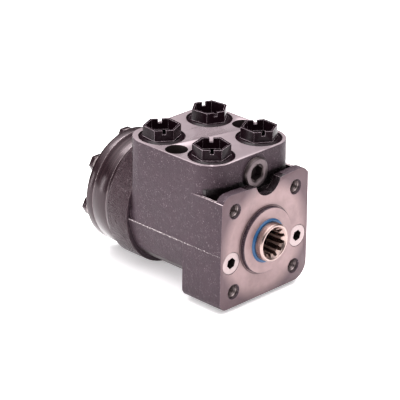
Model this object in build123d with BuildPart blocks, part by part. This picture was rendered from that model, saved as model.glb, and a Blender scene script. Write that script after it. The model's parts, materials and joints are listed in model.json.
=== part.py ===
from build123d import *
from math import atan2, cos, degrees, pi, radians, sin, sqrt, tan
import os

# Orbital steering unit, millimetres. The main axis is Y: y = 0 is the mounting
# flange face, +Y runs to the end cover, +Z is up through the four hose ports.

# Stations along the main axis
BOSS_HEIGHT = 3.0
JOURNAL_OUT = 9.3
EAR_THICK = 6.5
BLOCK_FRONT = 9.8
PORT_EDGE_FRONT = 18.8
PORT_PITCH_Y = 46.4
PORT_EDGE_REAR = 20.8
PORT_Y_FRONT = BLOCK_FRONT + PORT_EDGE_FRONT
PORT_Y_REAR = PORT_Y_FRONT + PORT_PITCH_Y
BLOCK_REAR = PORT_Y_REAR + PORT_EDGE_REAR
HOUSING_END = BLOCK_REAR + 10.4
FLANGE_DEPTH = 36.0
REAR_FLANGE_WIDTH = 19.2
PLATE_THICK = 4.3
GEAR_WIDTH = 13.0
COVER_THICK = 6.9
PLATE_END = HOUSING_END + PLATE_THICK
GEAR_END = PLATE_END + GEAR_WIDTH
COVER_END = GEAR_END + COVER_THICK

# Gear set: a seven-lobe ring and a six-lobe rotor that orbits inside it
ROTOR_LOBES = 6
RING_LOBES = ROTOR_LOBES + 1
ECCENTRICITY = 3.0
LOBE_CIRCLE_R = 38.0
LOBE_R = 9.4
MESH_GAP = 0.1
LOBE_FILLET = 1.5
ROTOR_POINTS = 84
ROTOR_SIDE_GAP = 0.02
STACK_R = LOBE_CIRCLE_R + 3.0
SCREW_CIRCLE_R = LOBE_CIRCLE_R - 3.8
SEAL_GROOVE_R = STACK_R - 1.4

# Housing casting
FLANGE_HALF = 42.0
FLANGE_BOTTOM = 40.5
EAR_TOP = 41.5
EAR_MID = 40.0
EAR_CORNER = 9.0
FOOT_CORNER_LEFT = 6.0
FOOT_CORNER_RIGHT = 12.0
LEDGE_TOP = 37.0
POCKET_FLOOR = 32.5
POCKET_RIM = 3.0
POCKET_REACH = 20.0
BLOCK_TOP = 58.3
BLOCK_DRAFT = 0.9
BLOCK_CORNER = 18.5
NECK_R = STACK_R - 0.7
REAR_FLANGE_R = STACK_R + 2.7
BOSS_R = 23.2
BOSS_EDGE = 0.4
SCALLOP_X = 2.3
SCALLOP_RISE = 2.0
SCALLOP_R = 12.0

# Flange and port face holes
BOLT_CIRCLE_R = 41.275
FLANGE_TAP_R = 4.25
FLANGE_TAP_DEPTH = 18.0
FLANGE_TAP_MOUTH_R = 5.5
PORT_X = 22.7
PORT_R = 9.3
PORT_DEPTH = 15.0
SPOT_R = 15.9
SPOT_DEPTH = 2.0
SIDE_HOLE_X = 32.0
SIDE_HOLE_Y = (PORT_Y_FRONT + PORT_Y_REAR) / 2
SIDE_HOLE_R = 7.6
SIDE_HOLE_DEPTH = 9.0
SIDE_TAP_R = 4.25
SIDE_TAP_DEPTH = 14.0

# Spool and sleeve set
FIT = 0.04
END_FIT = 0.02
BORE_R = 19.0
SLEEVE_R = BORE_R - FIT
SPOOL_R = 14.2
SLEEVE_BORE_R = SPOOL_R + FIT
JOURNAL_R = 13.4
SPOOL_BORE_R = 11.5
SPLINE_TEETH = 12
SPLINE_PITCH_R = 9.525
SPLINE_ROOT_R = 10.6
SPLINE_TIP_R = 8.73
SPLINE_LENGTH = 22.3
SPLINE_RELIEF = 0.2
SPOOL_EDGE = 1.0
FLANK_LEAN = tan(radians(30))
SEAL_GAP = 0.05
DUST_SEAL_R = 15.5
DUST_SEAL_DEPTH = 4.0
SHAFT_SEAL_R = 17.2
SHAFT_SEAL_WIDTH = 4.2
SEAL_WEB = 2.8
RACE_THICK = 1.5
NEEDLE_R = 1.0
NEEDLE_COUNT = 14
NEEDLE_LENGTH = 3.0
NEEDLE_GAP = 0.01
NEEDLE_WINDOW_GAP = 0.1
CAGE_THICK = 1.2
CAGE_SIDE_GAP = 0.3
SPRING_WIDTH = 6.6
SPRING_HALF_SLOT = 2.0
SPRING_CLEAR = 0.3
SPRING_LENGTH = 35.6
FLAT_LEAF = 0.5
ARCHED_LEAF = 0.34
LEAF_SAG = 0.7
LEAF_GAP = 0.02
SPRING_MIDDLE = 5.8
RING_ZONE = 11.0
RING_GROOVE_DEPTH = 0.9
RING_SIDE_GAP = 0.05
RING_END_GAP = 0.5
LAND_STEP = 8.0
LAND_WIDTH = 2.4
SPOOL_SLOT_WIDTH = 2.6
SPOOL_FRONT_SLOTS = (14.0, 22.0)
SPOOL_REAR_SLOTS = (-8.0, 26.0)
PIN_ROOM = 8.0
METER_HOLE_R = 1.5
FINE_HOLE_R = 1.2
FINE_HOLE_STEP = 16.0
PIN_Y = 34.0
PIN_R = 4.0
PIN_LENGTH = 37.0
LOST_MOTION = 8.0
LAND_GROOVE = 1.2

# Screws, washers and face seals of the stack
SCREW_R = 4.0
SCREW_CLEAR = 0.1
THREAD_GAP = 0.05
SCREW_REACH = 16.0
SCREW_HOLE_DEPTH = 18.0
SCREW_HEAD_FLATS = 12.0
SCREW_HEAD_HEIGHT = 4.2
WASHER_R = 6.3
WASHER_THICK = 1.0
SPECIAL_SCREW = 4
BALL_HOLE_DEPTH = 30.0
SEAL_CORD_R = 0.6
SEAL_SIDE_GAP = 0.1
SEAL_GROOVE_CLEAR = 0.02
GALLERY_R = 24.0
GALLERY_HOLE_R = 2.4
GALLERY_DEPTH = 14.0

# Cardan shaft between the cross pin and the rotor
CARDAN_HEAD_R = 10.2
CARDAN_HEAD_LENGTH = 14.0
CARDAN_NECK_R = 6.0
CARDAN_SLOT_CLEAR = 0.12
CARDAN_SLOT_DEEPER = 0.5
CARDAN_TEETH = 12
CARDAN_PITCH_R = 8.7
CARDAN_TIP_R = 9.3
CARDAN_ROOT_R = 7.7
ROTOR_SPLINE_TIP_R = 8.1
ROTOR_SPLINE_ROOT_R = 9.8
CARDAN_TOOTH_GAP = 0.45
SPACER_R = 7.6
SPACER_THICK = 3.4

# Oil ways
GROOVE_R = 23.0
GROOVE_WIDTH = 4.0
PASSAGE_R = 2.8
GALLERY_BOTTOM = 6.0

# Check valve under the pressure port
CHECK_BUSH_R = 6.0
CHECK_BUSH_LENGTH = 7.0
CHECK_BUSH_HOLE_R = 3.0
CHECK_BUSH_HEX = 8.0
CHECK_BALL_R = 4.25
CHECK_CHAMBER_R = 4.6
CHECK_DRILL_R = 3.4

# Relief and shock valves
RELIEF_X = 0.0
RELIEF_Z = 45.2
RELIEF_THREAD_R = 8.0
RELIEF_CHAMBER_R = 6.5
RELIEF_HEAD_R = 11.0
RELIEF_HEAD_THICK = 1.8
RELIEF_WASHER_THICK = 1.0
RELIEF_PLUG_DEPTH = 10.0
RELIEF_HEX = 10.0
RELIEF_HEX_TURN = 20.0
SOCKET_DEPTH = 6.0
ADJUSTER_THICK = 4.0
ADJUSTER_HEX = 5.0
RELIEF_SEAT_START = 38.0
RELIEF_SEAT_THICK = 6.0
RELIEF_SEAT_HOLE_R = 2.5
RELIEF_POPPET_R = 4.6
RELIEF_STEM_R = 2.0
RELIEF_STEM_LENGTH = 2.5
RELIEF_DRUM_LENGTH = 2.5
RELIEF_CONE_LENGTH = 4.0
RELIEF_COIL_R = 3.4
RELIEF_WIRE_R = 0.6
RELIEF_DRILL_R = 2.2
COIL_TURNS = 4
SHOCK_X = 32.0
SHOCK_Z = -7.5
SHOCK_HEAD_R = 7.9
SHOCK_HEAD_THICK = 5.0
SHOCK_THREAD_R = 7.0
SHOCK_HEX = 7.0
SHOCK_HEX_TURN = 15.0
SHOCK_PLUG_END = 14.0
SHOCK_SEAT_START = 30.0
SHOCK_SEAT_THICK = 5.0
SHOCK_SEAT_HOLE_R = 2.4
SHOCK_GALLERY_R = 2.5
SHOCK_GALLERY_LENGTH = 5.0
SHOCK_WIRE_R = 0.5
SHOCK_COIL_R = 2.6
SHOCK_SEAL_DEPTH = 1.0
SHOCK_SEAL_WIDTH = 1.2
SHOCK_CHAMBER_R = 5.5
SHOCK_BALL_R = 3.5
VALVE_LIFT = 1.5
SEAT_GAP = 0.03
PLUG_GAP = 0.05

# Suction valves and emergency steering check in the rear face
SUCTION_CIRCLE_R = 23.6
SUCTION_BALL_R = 2.5
SUCTION_HOLE_R = 2.8
SUCTION_SEAT_HOLE_R = 1.6
SUCTION_DEPTH = 12.0
SEAT_DRILL_DEPTH = 4.0
EMERGENCY_BALL_R = 3.0
EMERGENCY_HOLE_R = 3.3
ROLLED_PIN_WALL = 0.9
ROLLED_PIN_SLIT = 1.0

# Transport plugs
CAP_FLANGE_R = 15.5
CAP_HEX_FLATS = 22.5
CAP_HEIGHT = 10.3
CAP_WALL = 1.5
CAP_NOTCH = 2.4
CAP_NOTCH_DEPTH = 3.0
CAP_RIM = 1.0
CAP_CONE_TOP = 2.6
CAP_FLOOR = 1.6
CAP_SHANK_R = PORT_R - 0.1
CAP_SHANK_LENGTH = 11.0
CAP_TURNS = (15.4, 28.2, 23.0, 36.9)


os.makedirs("parts", exist_ok=True)


def facing(y, up=0):
    """Plane across the main axis at y, seen from the flange side: X right, Z up."""
    return Plane(origin=(0, y, up), x_dir=(1, 0, 0), z_dir=(0, -1, 0))


def around(angle, radius):
    """X and Z of a point on a circle about the main axis, angle counted from +X to +Z."""
    return radius * cos(radians(angle)), radius * sin(radians(angle))


def spline_tooth(pitch_r, near_r, far_r, half_width, lean):
    """Outline of one straight-flanked spline tooth that points along the sketch's X."""
    near = half_width + (near_r - pitch_r) * lean
    far = half_width + (far_r - pitch_r) * lean
    return [(near_r, -near), (far_r, -far), (far_r, far), (near_r, near), (near_r, -near)]


def finish(piece, label):
    """Names a finished piece and writes it."""
    piece.part.label = label
    export_step(piece.part, f"parts/{label}.step")


flange_tap_offset = BOLT_CIRCLE_R / sqrt(2)
lobe_angles = [90 + 360 / RING_LOBES * k for k in range(RING_LOBES)]
chamber_angles = [angle + 180 / RING_LOBES for angle in lobe_angles]
special_angle = lobe_angles[SPECIAL_SCREW]
plain_angles = [angle for angle in lobe_angles if angle != special_angle]
suction_angles = (lobe_angles[1], lobe_angles[6])

dust_seat = -BOSS_HEIGHT + DUST_SEAL_DEPTH
shaft_seal_start = dust_seat + SEAL_WEB
bearing_start = shaft_seal_start + SHAFT_SEAL_WIDTH
needle_mid = bearing_start + RACE_THICK + NEEDLE_R
inner_race_start = needle_mid + NEEDLE_R
sleeve_start = inner_race_start + RACE_THICK + END_FIT
spring_mid = sleeve_start + SPRING_MIDDLE
ring_end = sleeve_start + RING_ZONE
ring_r = SLEEVE_R - RING_GROOVE_DEPTH

# Sides of the casting: both halves meet at the parting plane, where the neck runs into its tangents
ear_half = FLANGE_HALF - EAR_TOP * tan(radians(BLOCK_DRAFT))
neck_lean = min(NECK_R / FLANGE_HALF, 1)
neck_drop = NECK_R * sqrt(1 - neck_lean**2)

port_places = [
    (-PORT_X, PORT_Y_FRONT),
    (PORT_X, PORT_Y_FRONT),
    (-PORT_X, PORT_Y_REAR),
    (PORT_X, PORT_Y_REAR),
]
spot_face = BLOCK_TOP - SPOT_DEPTH
port_floor = spot_face - PORT_DEPTH

# Check valve under the pressure port
check_seat = port_floor - CHECK_BUSH_LENGTH
check_ball_high = check_seat - sqrt(CHECK_BALL_R**2 - CHECK_BUSH_HOLE_R**2) - SEAT_GAP
check_ball_low = check_ball_high - VALVE_LIFT
check_shoulder = check_ball_low - sqrt(CHECK_BALL_R**2 - CHECK_DRILL_R**2) - SEAT_GAP

# Annular grooves of the main bore: pressure, tank, left and right
groove_stations = (
    PORT_Y_FRONT,
    PORT_Y_FRONT + LAND_STEP,
    PORT_Y_REAR - LAND_STEP / 2,
    PORT_Y_REAR + LAND_STEP / 2,
)
gallery_row_y = HOUSING_END - GALLERY_DEPTH + GALLERY_HOLE_R

# Relief valve stations behind the front of the port block
relief_spot = BLOCK_FRONT + 0.8
relief_plug_end = relief_spot + RELIEF_PLUG_DEPTH
relief_seat_end = RELIEF_SEAT_START + RELIEF_SEAT_THICK
relief_gallery_end = relief_seat_end + 6.0

# Shock valve stations behind the flange face
shock_seat_end = SHOCK_SEAT_START + SHOCK_SEAT_THICK
shock_ball_y = SHOCK_SEAT_START - sqrt(SHOCK_BALL_R**2 - SHOCK_SEAT_HOLE_R**2) - SEAT_GAP
shock_places = [(-SHOCK_X, SHOCK_Z), (SHOCK_X, SHOCK_Z)]

# Suction valves and the emergency steering check in the rear face
suction_seat = HOUSING_END - SUCTION_DEPTH
suction_ball_y = suction_seat + sqrt(SUCTION_BALL_R**2 - SUCTION_SEAT_HOLE_R**2) + SEAT_GAP
emergency_seat = HOUSING_END - BALL_HOLE_DEPTH
emergency_ball_y = emergency_seat + sqrt(EMERGENCY_BALL_R**2 - SUCTION_SEAT_HOLE_R**2) + SEAT_GAP
screw_tip = HOUSING_END - SCREW_REACH

# Face seals lie in grooves outside the ring of screws
seal_groove_half = SEAL_CORD_R + SEAL_SIDE_GAP
seal_groove_depth = 2 * SEAL_CORD_R + SEAL_GROOVE_CLEAR

# Housing casting: flange block, ears, port block, neck and rear flange
with BuildPart() as housing:
    with BuildSketch(facing(0)) as foot:
        with Locations((0, -FLANGE_BOTTOM / 2)):
            Rectangle(2 * FLANGE_HALF, FLANGE_BOTTOM)
        low_corners = foot.vertices().sort_by(Axis.Y)[:2].sort_by(Axis.X)
        fillet(low_corners[0], FOOT_CORNER_LEFT)
        fillet(foot.vertices().sort_by(Axis.Y)[:2].sort_by(Axis.X)[-1], FOOT_CORNER_RIGHT)
    extrude(amount=-FLANGE_DEPTH)
    with BuildSketch(Plane.XY):
        Rectangle(2 * FLANGE_HALF, 2 * FLANGE_DEPTH)
    extrude(amount=LEDGE_TOP, taper=BLOCK_DRAFT)
    with BuildSketch(facing(0)):
        with Locations((0, LEDGE_TOP / 2)):
            Rectangle(2 * FLANGE_HALF, LEDGE_TOP)
    extrude(amount=FLANGE_DEPTH, mode=Mode.SUBTRACT)
    with BuildSketch(Plane.XY.offset(LEDGE_TOP)):
        with Locations((0, EAR_THICK + POCKET_REACH / 2)):
            Rectangle(2 * (FLANGE_HALF - POCKET_RIM), POCKET_REACH)
    extrude(amount=POCKET_FLOOR - LEDGE_TOP, mode=Mode.SUBTRACT)
    with BuildSketch(facing(0)) as ears:
        with BuildLine():
            Polyline(
                (-FLANGE_HALF + EAR_CORNER, EAR_TOP),
                (-ear_half, EAR_TOP),
                (-FLANGE_HALF, 0),
                (FLANGE_HALF, 0),
                (ear_half, EAR_TOP),
                (FLANGE_HALF - EAR_CORNER, EAR_TOP),
            )
            Spline(
                (FLANGE_HALF - EAR_CORNER, EAR_TOP),
                (0, EAR_MID),
                (-FLANGE_HALF + EAR_CORNER, EAR_TOP),
                tangents=((-1, 0), (-1, 0)),
            )
        make_face()
        fillet(
            ears.vertices().filter_by(lambda v: abs(v.X) > FLANGE_HALF - 1 and v.Y > EAR_MID),
            EAR_CORNER - 1,
        )
    extrude(amount=-EAR_THICK)
    with BuildSketch(facing(FLANGE_DEPTH / 2)):
        Circle(NECK_R)
        Polygon(
            (-FLANGE_HALF, 0),
            (-FLANGE_HALF * neck_lean**2, -neck_drop),
            (FLANGE_HALF * neck_lean**2, -neck_drop),
            (FLANGE_HALF, 0),
            align=None,
        )
    extrude(amount=-(HOUSING_END - REAR_FLANGE_WIDTH - FLANGE_DEPTH / 2))
    with BuildSketch(facing(HOUSING_END - REAR_FLANGE_WIDTH)):
        Circle(REAR_FLANGE_R)
    extrude(amount=-REAR_FLANGE_WIDTH)
    with BuildSketch(Plane.XY):
        with Locations((0, (BLOCK_FRONT + BLOCK_REAR) / 2)):
            RectangleRounded(2 * FLANGE_HALF, BLOCK_REAR - BLOCK_FRONT, BLOCK_CORNER)
    extrude(amount=BLOCK_TOP, taper=BLOCK_DRAFT)
    with BuildSketch(facing(0)):
        Circle(BOSS_R)
    extrude(amount=BOSS_HEIGHT)
    chamfer(housing.faces().sort_by(Axis.Y)[0].edges(), BOSS_EDGE)

    # Scallop that leaves room for the wrench on the relief valve plug
    with BuildSketch(facing(0)):
        with Locations((SCALLOP_X, EAR_TOP + SCALLOP_RISE)):
            Circle(SCALLOP_R)
    extrude(amount=-(BLOCK_FRONT + 0.4), mode=Mode.SUBTRACT)

    # Main bore with its seal and bearing seats, revolved as one cavity
    with BuildSketch(Plane.XY):
        with BuildLine():
            Polyline(
                (0, -BOSS_HEIGHT),
                (DUST_SEAL_R, -BOSS_HEIGHT),
                (DUST_SEAL_R, dust_seat),
                (JOURNAL_R + 0.5, dust_seat),
                (JOURNAL_R + 0.5, shaft_seal_start),
                (SHAFT_SEAL_R, shaft_seal_start),
                (SHAFT_SEAL_R, bearing_start),
                (BORE_R, bearing_start),
                (BORE_R, HOUSING_END),
                (0, HOUSING_END),
                (0, -BOSS_HEIGHT),
            )
        make_face()
    revolve(axis=Axis.Y, mode=Mode.SUBTRACT)
    with BuildSketch(Plane.XY):
        for station in groove_stations:
            with Locations(((BORE_R - 1 + GROOVE_R) / 2, station)):
                Rectangle(GROOVE_R - BORE_R + 1, GROOVE_WIDTH)
    revolve(axis=Axis.Y, mode=Mode.SUBTRACT)

    # Four tapped holes of the mounting flange, with chamfered mouths
    with BuildSketch(facing(0)):
        with GridLocations(2 * flange_tap_offset, 2 * flange_tap_offset, 2, 2):
            Circle(FLANGE_TAP_R)
    extrude(amount=-FLANGE_TAP_DEPTH, mode=Mode.SUBTRACT)
    with BuildSketch(facing(0)):
        with GridLocations(2 * flange_tap_offset, 2 * flange_tap_offset, 2, 2):
            Circle(FLANGE_TAP_MOUTH_R)
    extrude(amount=-(FLANGE_TAP_MOUTH_R - FLANGE_TAP_R), taper=45, mode=Mode.SUBTRACT)

    # Hose ports in shallow spot faces, and two fastening holes beside them
    with BuildSketch(Plane.XY.offset(BLOCK_TOP)):
        with Locations(*port_places):
            Circle(SPOT_R)
    extrude(amount=-SPOT_DEPTH, mode=Mode.SUBTRACT)
    with BuildSketch(Plane.XY.offset(spot_face)):
        with Locations(*port_places):
            Circle(PORT_R)
    extrude(amount=-PORT_DEPTH, mode=Mode.SUBTRACT)
    with BuildSketch(Plane.XY.offset(BLOCK_TOP)):
        with Locations((-SIDE_HOLE_X, SIDE_HOLE_Y), (SIDE_HOLE_X, SIDE_HOLE_Y)):
            Circle(SIDE_HOLE_R)
    extrude(amount=-SIDE_HOLE_DEPTH, mode=Mode.SUBTRACT)
    with BuildSketch(Plane.XY.offset(BLOCK_TOP - SIDE_HOLE_DEPTH)):
        with Locations((-SIDE_HOLE_X, SIDE_HOLE_Y), (SIDE_HOLE_X, SIDE_HOLE_Y)):
            Circle(SIDE_TAP_R)
    extrude(amount=-SIDE_TAP_DEPTH, mode=Mode.SUBTRACT)

    # Check valve bore and drilling from the pressure port to its groove
    with BuildSketch(Plane.XY.offset(port_floor)):
        with Locations(port_places[0]):
            Circle(CHECK_BUSH_R + PLUG_GAP)
    extrude(amount=-CHECK_BUSH_LENGTH, mode=Mode.SUBTRACT)
    with BuildSketch(Plane.XY.offset(check_seat)):
        with Locations(port_places[0]):
            Circle(CHECK_CHAMBER_R)
    extrude(amount=check_shoulder - check_seat, mode=Mode.SUBTRACT)
    with BuildSketch(Plane.XY.offset(check_shoulder)):
        with Locations(port_places[0]):
            Circle(CHECK_DRILL_R)
    extrude(amount=GALLERY_BOTTOM - check_shoulder, mode=Mode.SUBTRACT)

    # Drillings from the tank, left and right ports to their own grooves
    with BuildSketch(Plane.XY.offset(port_floor)):
        with Locations(
            (PORT_X, groove_stations[1] - 2),
            (-PORT_X, groove_stations[2]),
            (PORT_X, groove_stations[3]),
        ):
            Circle(PASSAGE_R)
    extrude(amount=GALLERY_BOTTOM - port_floor, mode=Mode.SUBTRACT)

    # Relief valve bore: spot face, plug thread, spring chamber, gallery and drain to the tank port
    for start, end, radius in (
        (BLOCK_FRONT - 0.4, relief_spot, RELIEF_HEAD_R + 0.3),
        (relief_spot, relief_plug_end, RELIEF_THREAD_R + PLUG_GAP),
        (relief_plug_end, relief_seat_end, RELIEF_CHAMBER_R),
        (relief_seat_end, relief_gallery_end, RELIEF_CHAMBER_R - 1.5),
    ):
        with BuildSketch(facing(start)):
            with Locations((RELIEF_X, RELIEF_Z)):
                Circle(radius)
        extrude(amount=-(end - start), mode=Mode.SUBTRACT)
    with BuildSketch(Plane.YZ.offset(RELIEF_X)):
        with Locations((PORT_Y_FRONT, RELIEF_Z)):
            Circle(RELIEF_DRILL_R)
    extrude(amount=PORT_X - PORT_R - RELIEF_X + RELIEF_DRILL_R, mode=Mode.SUBTRACT)

    # Shock valve bores behind the two plugs of the flange face
    for start, end, radius in (
        (0, SHOCK_HEAD_THICK, SHOCK_HEAD_R + PLUG_GAP),
        (SHOCK_HEAD_THICK, SHOCK_PLUG_END, SHOCK_THREAD_R + PLUG_GAP),
        (SHOCK_PLUG_END, shock_seat_end, SHOCK_CHAMBER_R + PLUG_GAP),
        (shock_seat_end, shock_seat_end + SHOCK_GALLERY_LENGTH, SHOCK_GALLERY_R),
    ):
        with BuildSketch(facing(start)):
            with Locations(*shock_places):
                Circle(radius)
        extrude(amount=-(end - start), mode=Mode.SUBTRACT)

    # Rear face: screw threads, gallery holes to the gear chambers and the seal groove
    with BuildSketch(facing(HOUSING_END)):
        for angle in lobe_angles:
            with Locations(around(angle, SCREW_CIRCLE_R)):
                Circle(SCREW_R + THREAD_GAP)
    extrude(amount=SCREW_HOLE_DEPTH, mode=Mode.SUBTRACT)
    with BuildSketch(facing(HOUSING_END)):
        with Locations(around(special_angle, SCREW_CIRCLE_R)):
            Circle(EMERGENCY_HOLE_R)
    extrude(amount=BALL_HOLE_DEPTH, mode=Mode.SUBTRACT)
    with BuildSketch(facing(HOUSING_END)):
        for angle in chamber_angles:
            with Locations(around(angle, GALLERY_R)):
                Circle(GALLERY_HOLE_R)
    extrude(amount=GALLERY_DEPTH, mode=Mode.SUBTRACT)
    for angle in suction_angles:
        with BuildSketch(facing(HOUSING_END)):
            with Locations(around(angle, SUCTION_CIRCLE_R)):
                Circle(SUCTION_HOLE_R)
        extrude(amount=SUCTION_DEPTH, mode=Mode.SUBTRACT)
        with BuildSketch(facing(suction_seat)):
            with Locations(around(angle, SUCTION_CIRCLE_R)):
                Circle(SUCTION_SEAT_HOLE_R)
        extrude(amount=SEAT_DRILL_DEPTH, mode=Mode.SUBTRACT)
    with BuildSketch(facing(emergency_seat)):
        with Locations(around(special_angle, SCREW_CIRCLE_R)):
            Circle(SUCTION_SEAT_HOLE_R)
    extrude(amount=SEAT_DRILL_DEPTH, mode=Mode.SUBTRACT)
    with BuildSketch(facing(HOUSING_END)):
        Circle(SEAL_GROOVE_R + seal_groove_half)
        Circle(SEAL_GROOVE_R - seal_groove_half, mode=Mode.SUBTRACT)
    extrude(amount=seal_groove_depth, mode=Mode.SUBTRACT)
finish(housing, "housing")

# Dust seal: pressed ring with a lip that stands a little proud of the boss
with BuildPart() as dust_seal:
    with BuildSketch(Plane.XY):
        with BuildLine():
            Polyline(
                (JOURNAL_R + SEAL_GAP, -BOSS_HEIGHT - 1.1),
                (JOURNAL_R + 1.3, -BOSS_HEIGHT - 1.1),
                (DUST_SEAL_R - END_FIT, -BOSS_HEIGHT),
                (DUST_SEAL_R - END_FIT, dust_seat),
                (JOURNAL_R + 0.8, dust_seat),
                (JOURNAL_R + 0.8, dust_seat - 1.4),
                (JOURNAL_R + SEAL_GAP, -BOSS_HEIGHT - 0.2),
                (JOURNAL_R + SEAL_GAP, -BOSS_HEIGHT - 1.1),
            )
        make_face()
    revolve(axis=Axis.Y)
finish(dust_seal, "dust_seal")

# Shaft seal: rubber ring with a groove behind its lip, in the corner before the bearing
with BuildPart() as shaft_seal:
    with BuildSketch(Plane.XY):
        with Locations(((JOURNAL_R + SHAFT_SEAL_R) / 2, shaft_seal_start + SHAFT_SEAL_WIDTH / 2)):
            Rectangle(SHAFT_SEAL_R - JOURNAL_R - 2 * SEAL_GAP, SHAFT_SEAL_WIDTH - 2 * END_FIT)
        with Locations(((JOURNAL_R + SHAFT_SEAL_R) / 2, bearing_start)):
            Rectangle(1.4, 3.2, mode=Mode.SUBTRACT)
    revolve(axis=Axis.Y)
finish(shaft_seal, "shaft_seal")

# Thrust bearing: two hardened races with a caged set of needles between them
for label, start in (("outer_bearing_race", bearing_start), ("inner_bearing_race", inner_race_start)):
    with BuildPart() as race:
        with BuildSketch(facing(start)):
            Circle(BORE_R - 2 * FIT)
            Circle(JOURNAL_R + 2 * FIT, mode=Mode.SUBTRACT)
        extrude(amount=-RACE_THICK)
        chamfer(race.edges().filter_by(GeomType.CIRCLE).sort_by(SortBy.RADIUS)[-2:], 0.3)
    finish(race, label)

needle_centre_r = (JOURNAL_R + BORE_R) / 2
with BuildPart() as thrust_needles:
    for k in range(NEEDLE_COUNT):
        x, z = around(360 / NEEDLE_COUNT * k, 1)
        start_r = needle_centre_r - NEEDLE_LENGTH / 2
        with BuildSketch(Plane(origin=(x * start_r, needle_mid, z * start_r), z_dir=(x, 0, z))):
            Circle(NEEDLE_R - NEEDLE_GAP)
        extrude(amount=NEEDLE_LENGTH)
finish(thrust_needles, "thrust_needles")

with BuildPart() as thrust_cage:
    with BuildSketch(facing(needle_mid - CAGE_THICK / 2)):
        Circle(BORE_R - CAGE_SIDE_GAP)
        Circle(JOURNAL_R + CAGE_SIDE_GAP, mode=Mode.SUBTRACT)
        with PolarLocations(needle_centre_r, NEEDLE_COUNT):
            Rectangle(
                NEEDLE_LENGTH + 2 * NEEDLE_WINDOW_GAP,
                2 * (NEEDLE_R + NEEDLE_WINDOW_GAP),
                mode=Mode.SUBTRACT,
            )
    extrude(amount=-CAGE_THICK)
finish(thrust_cage, "thrust_cage")

# Sleeve: turns in the housing bore and carries the cross pin and the centring springs
with BuildPart() as sleeve:
    with BuildSketch(facing(sleeve_start)):
        Circle(SLEEVE_R)
        Circle(SLEEVE_BORE_R, mode=Mode.SUBTRACT)
    extrude(amount=-(HOUSING_END - END_FIT - sleeve_start))
    with BuildSketch(facing(sleeve_start)):
        Circle(SLEEVE_R + 1)
        Circle(ring_r, mode=Mode.SUBTRACT)
    extrude(amount=-(ring_end - sleeve_start), mode=Mode.SUBTRACT)
    with BuildSketch(facing(spring_mid - SPRING_WIDTH / 2 - SPRING_CLEAR)):
        Rectangle(2 * SPRING_HALF_SLOT, 2 * SLEEVE_R + 2)
    extrude(amount=-(SPRING_WIDTH + 2 * SPRING_CLEAR), mode=Mode.SUBTRACT)
    with BuildSketch(Plane.YZ):
        with Locations((PIN_Y, 0)):
            Circle(PIN_R + FIT / 2)
    extrude(amount=SLEEVE_R + 1, both=True, mode=Mode.SUBTRACT)
    with BuildSketch(Plane.XY):
        for station in groove_stations[1:3]:
            with Locations((SLEEVE_R, station + LAND_STEP)):
                Rectangle(2 * LAND_GROOVE, LAND_WIDTH)
    revolve(axis=Axis.Y, mode=Mode.SUBTRACT)
    for station, count, radius in (
        (PORT_Y_FRONT, ROTOR_LOBES, METER_HOLE_R),
        (groove_stations[1] + LAND_STEP, ROTOR_LOBES, METER_HOLE_R),
        (PORT_Y_REAR - FINE_HOLE_STEP, 2 * ROTOR_LOBES, FINE_HOLE_R),
        (gallery_row_y, 2 * ROTOR_LOBES, METER_HOLE_R),
    ):
        for k in range(count):
            x, z = around(360 / count * (k + 0.5), 1)
            with BuildSketch(Plane(origin=(0, station, 0), z_dir=(x, 0, z))):
                Circle(radius)
            extrude(amount=SLEEVE_R + 1, mode=Mode.SUBTRACT)
finish(sleeve, "sleeve")

# Spring ring: a thin hoop that keeps the springs in their windows
with BuildPart() as spring_ring:
    with BuildSketch(facing(sleeve_start + RING_END_GAP)):
        Circle(SLEEVE_R - RING_SIDE_GAP)
        Circle(ring_r + RING_SIDE_GAP, mode=Mode.SUBTRACT)
    extrude(amount=-(RING_ZONE - 2 * RING_END_GAP))
finish(spring_ring, "spring_ring")

# Centring springs: two flat leaves between two pairs of arched ones, across both shafts
with BuildPart() as flat_springs:
    with BuildSketch(facing(spring_mid - SPRING_WIDTH / 2)):
        for side in (-1, 1):
            with Locations((side * (FLAT_LEAF + LEAF_GAP) / 2, 0)):
                Rectangle(FLAT_LEAF, SPRING_LENGTH)
    extrude(amount=-SPRING_WIDTH)
finish(flat_springs, "flat_centring_springs")

half_leaf = SPRING_LENGTH / 2
with BuildPart() as arched_springs:
    for side in (-1, 1):
        for layer in range(2):
            inner = FLAT_LEAF + LEAF_GAP * 1.5 + layer * (ARCHED_LEAF + LEAF_GAP)
            outer = inner + ARCHED_LEAF
            with BuildSketch(facing(spring_mid - SPRING_WIDTH / 2)):
                with BuildLine():
                    ThreePointArc(
                        (side * (inner + LEAF_SAG), -half_leaf),
                        (side * inner, 0),
                        (side * (inner + LEAF_SAG), half_leaf),
                    )
                    ThreePointArc(
                        (side * (outer + LEAF_SAG), -half_leaf),
                        (side * outer, 0),
                        (side * (outer + LEAF_SAG), half_leaf),
                    )
                    Line((side * (inner + LEAF_SAG), -half_leaf), (side * (outer + LEAF_SAG), -half_leaf))
                    Line((side * (inner + LEAF_SAG), half_leaf), (side * (outer + LEAF_SAG), half_leaf))
                make_face()
            extrude(amount=-SPRING_WIDTH)
finish(arched_springs, "arched_centring_springs")

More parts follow.
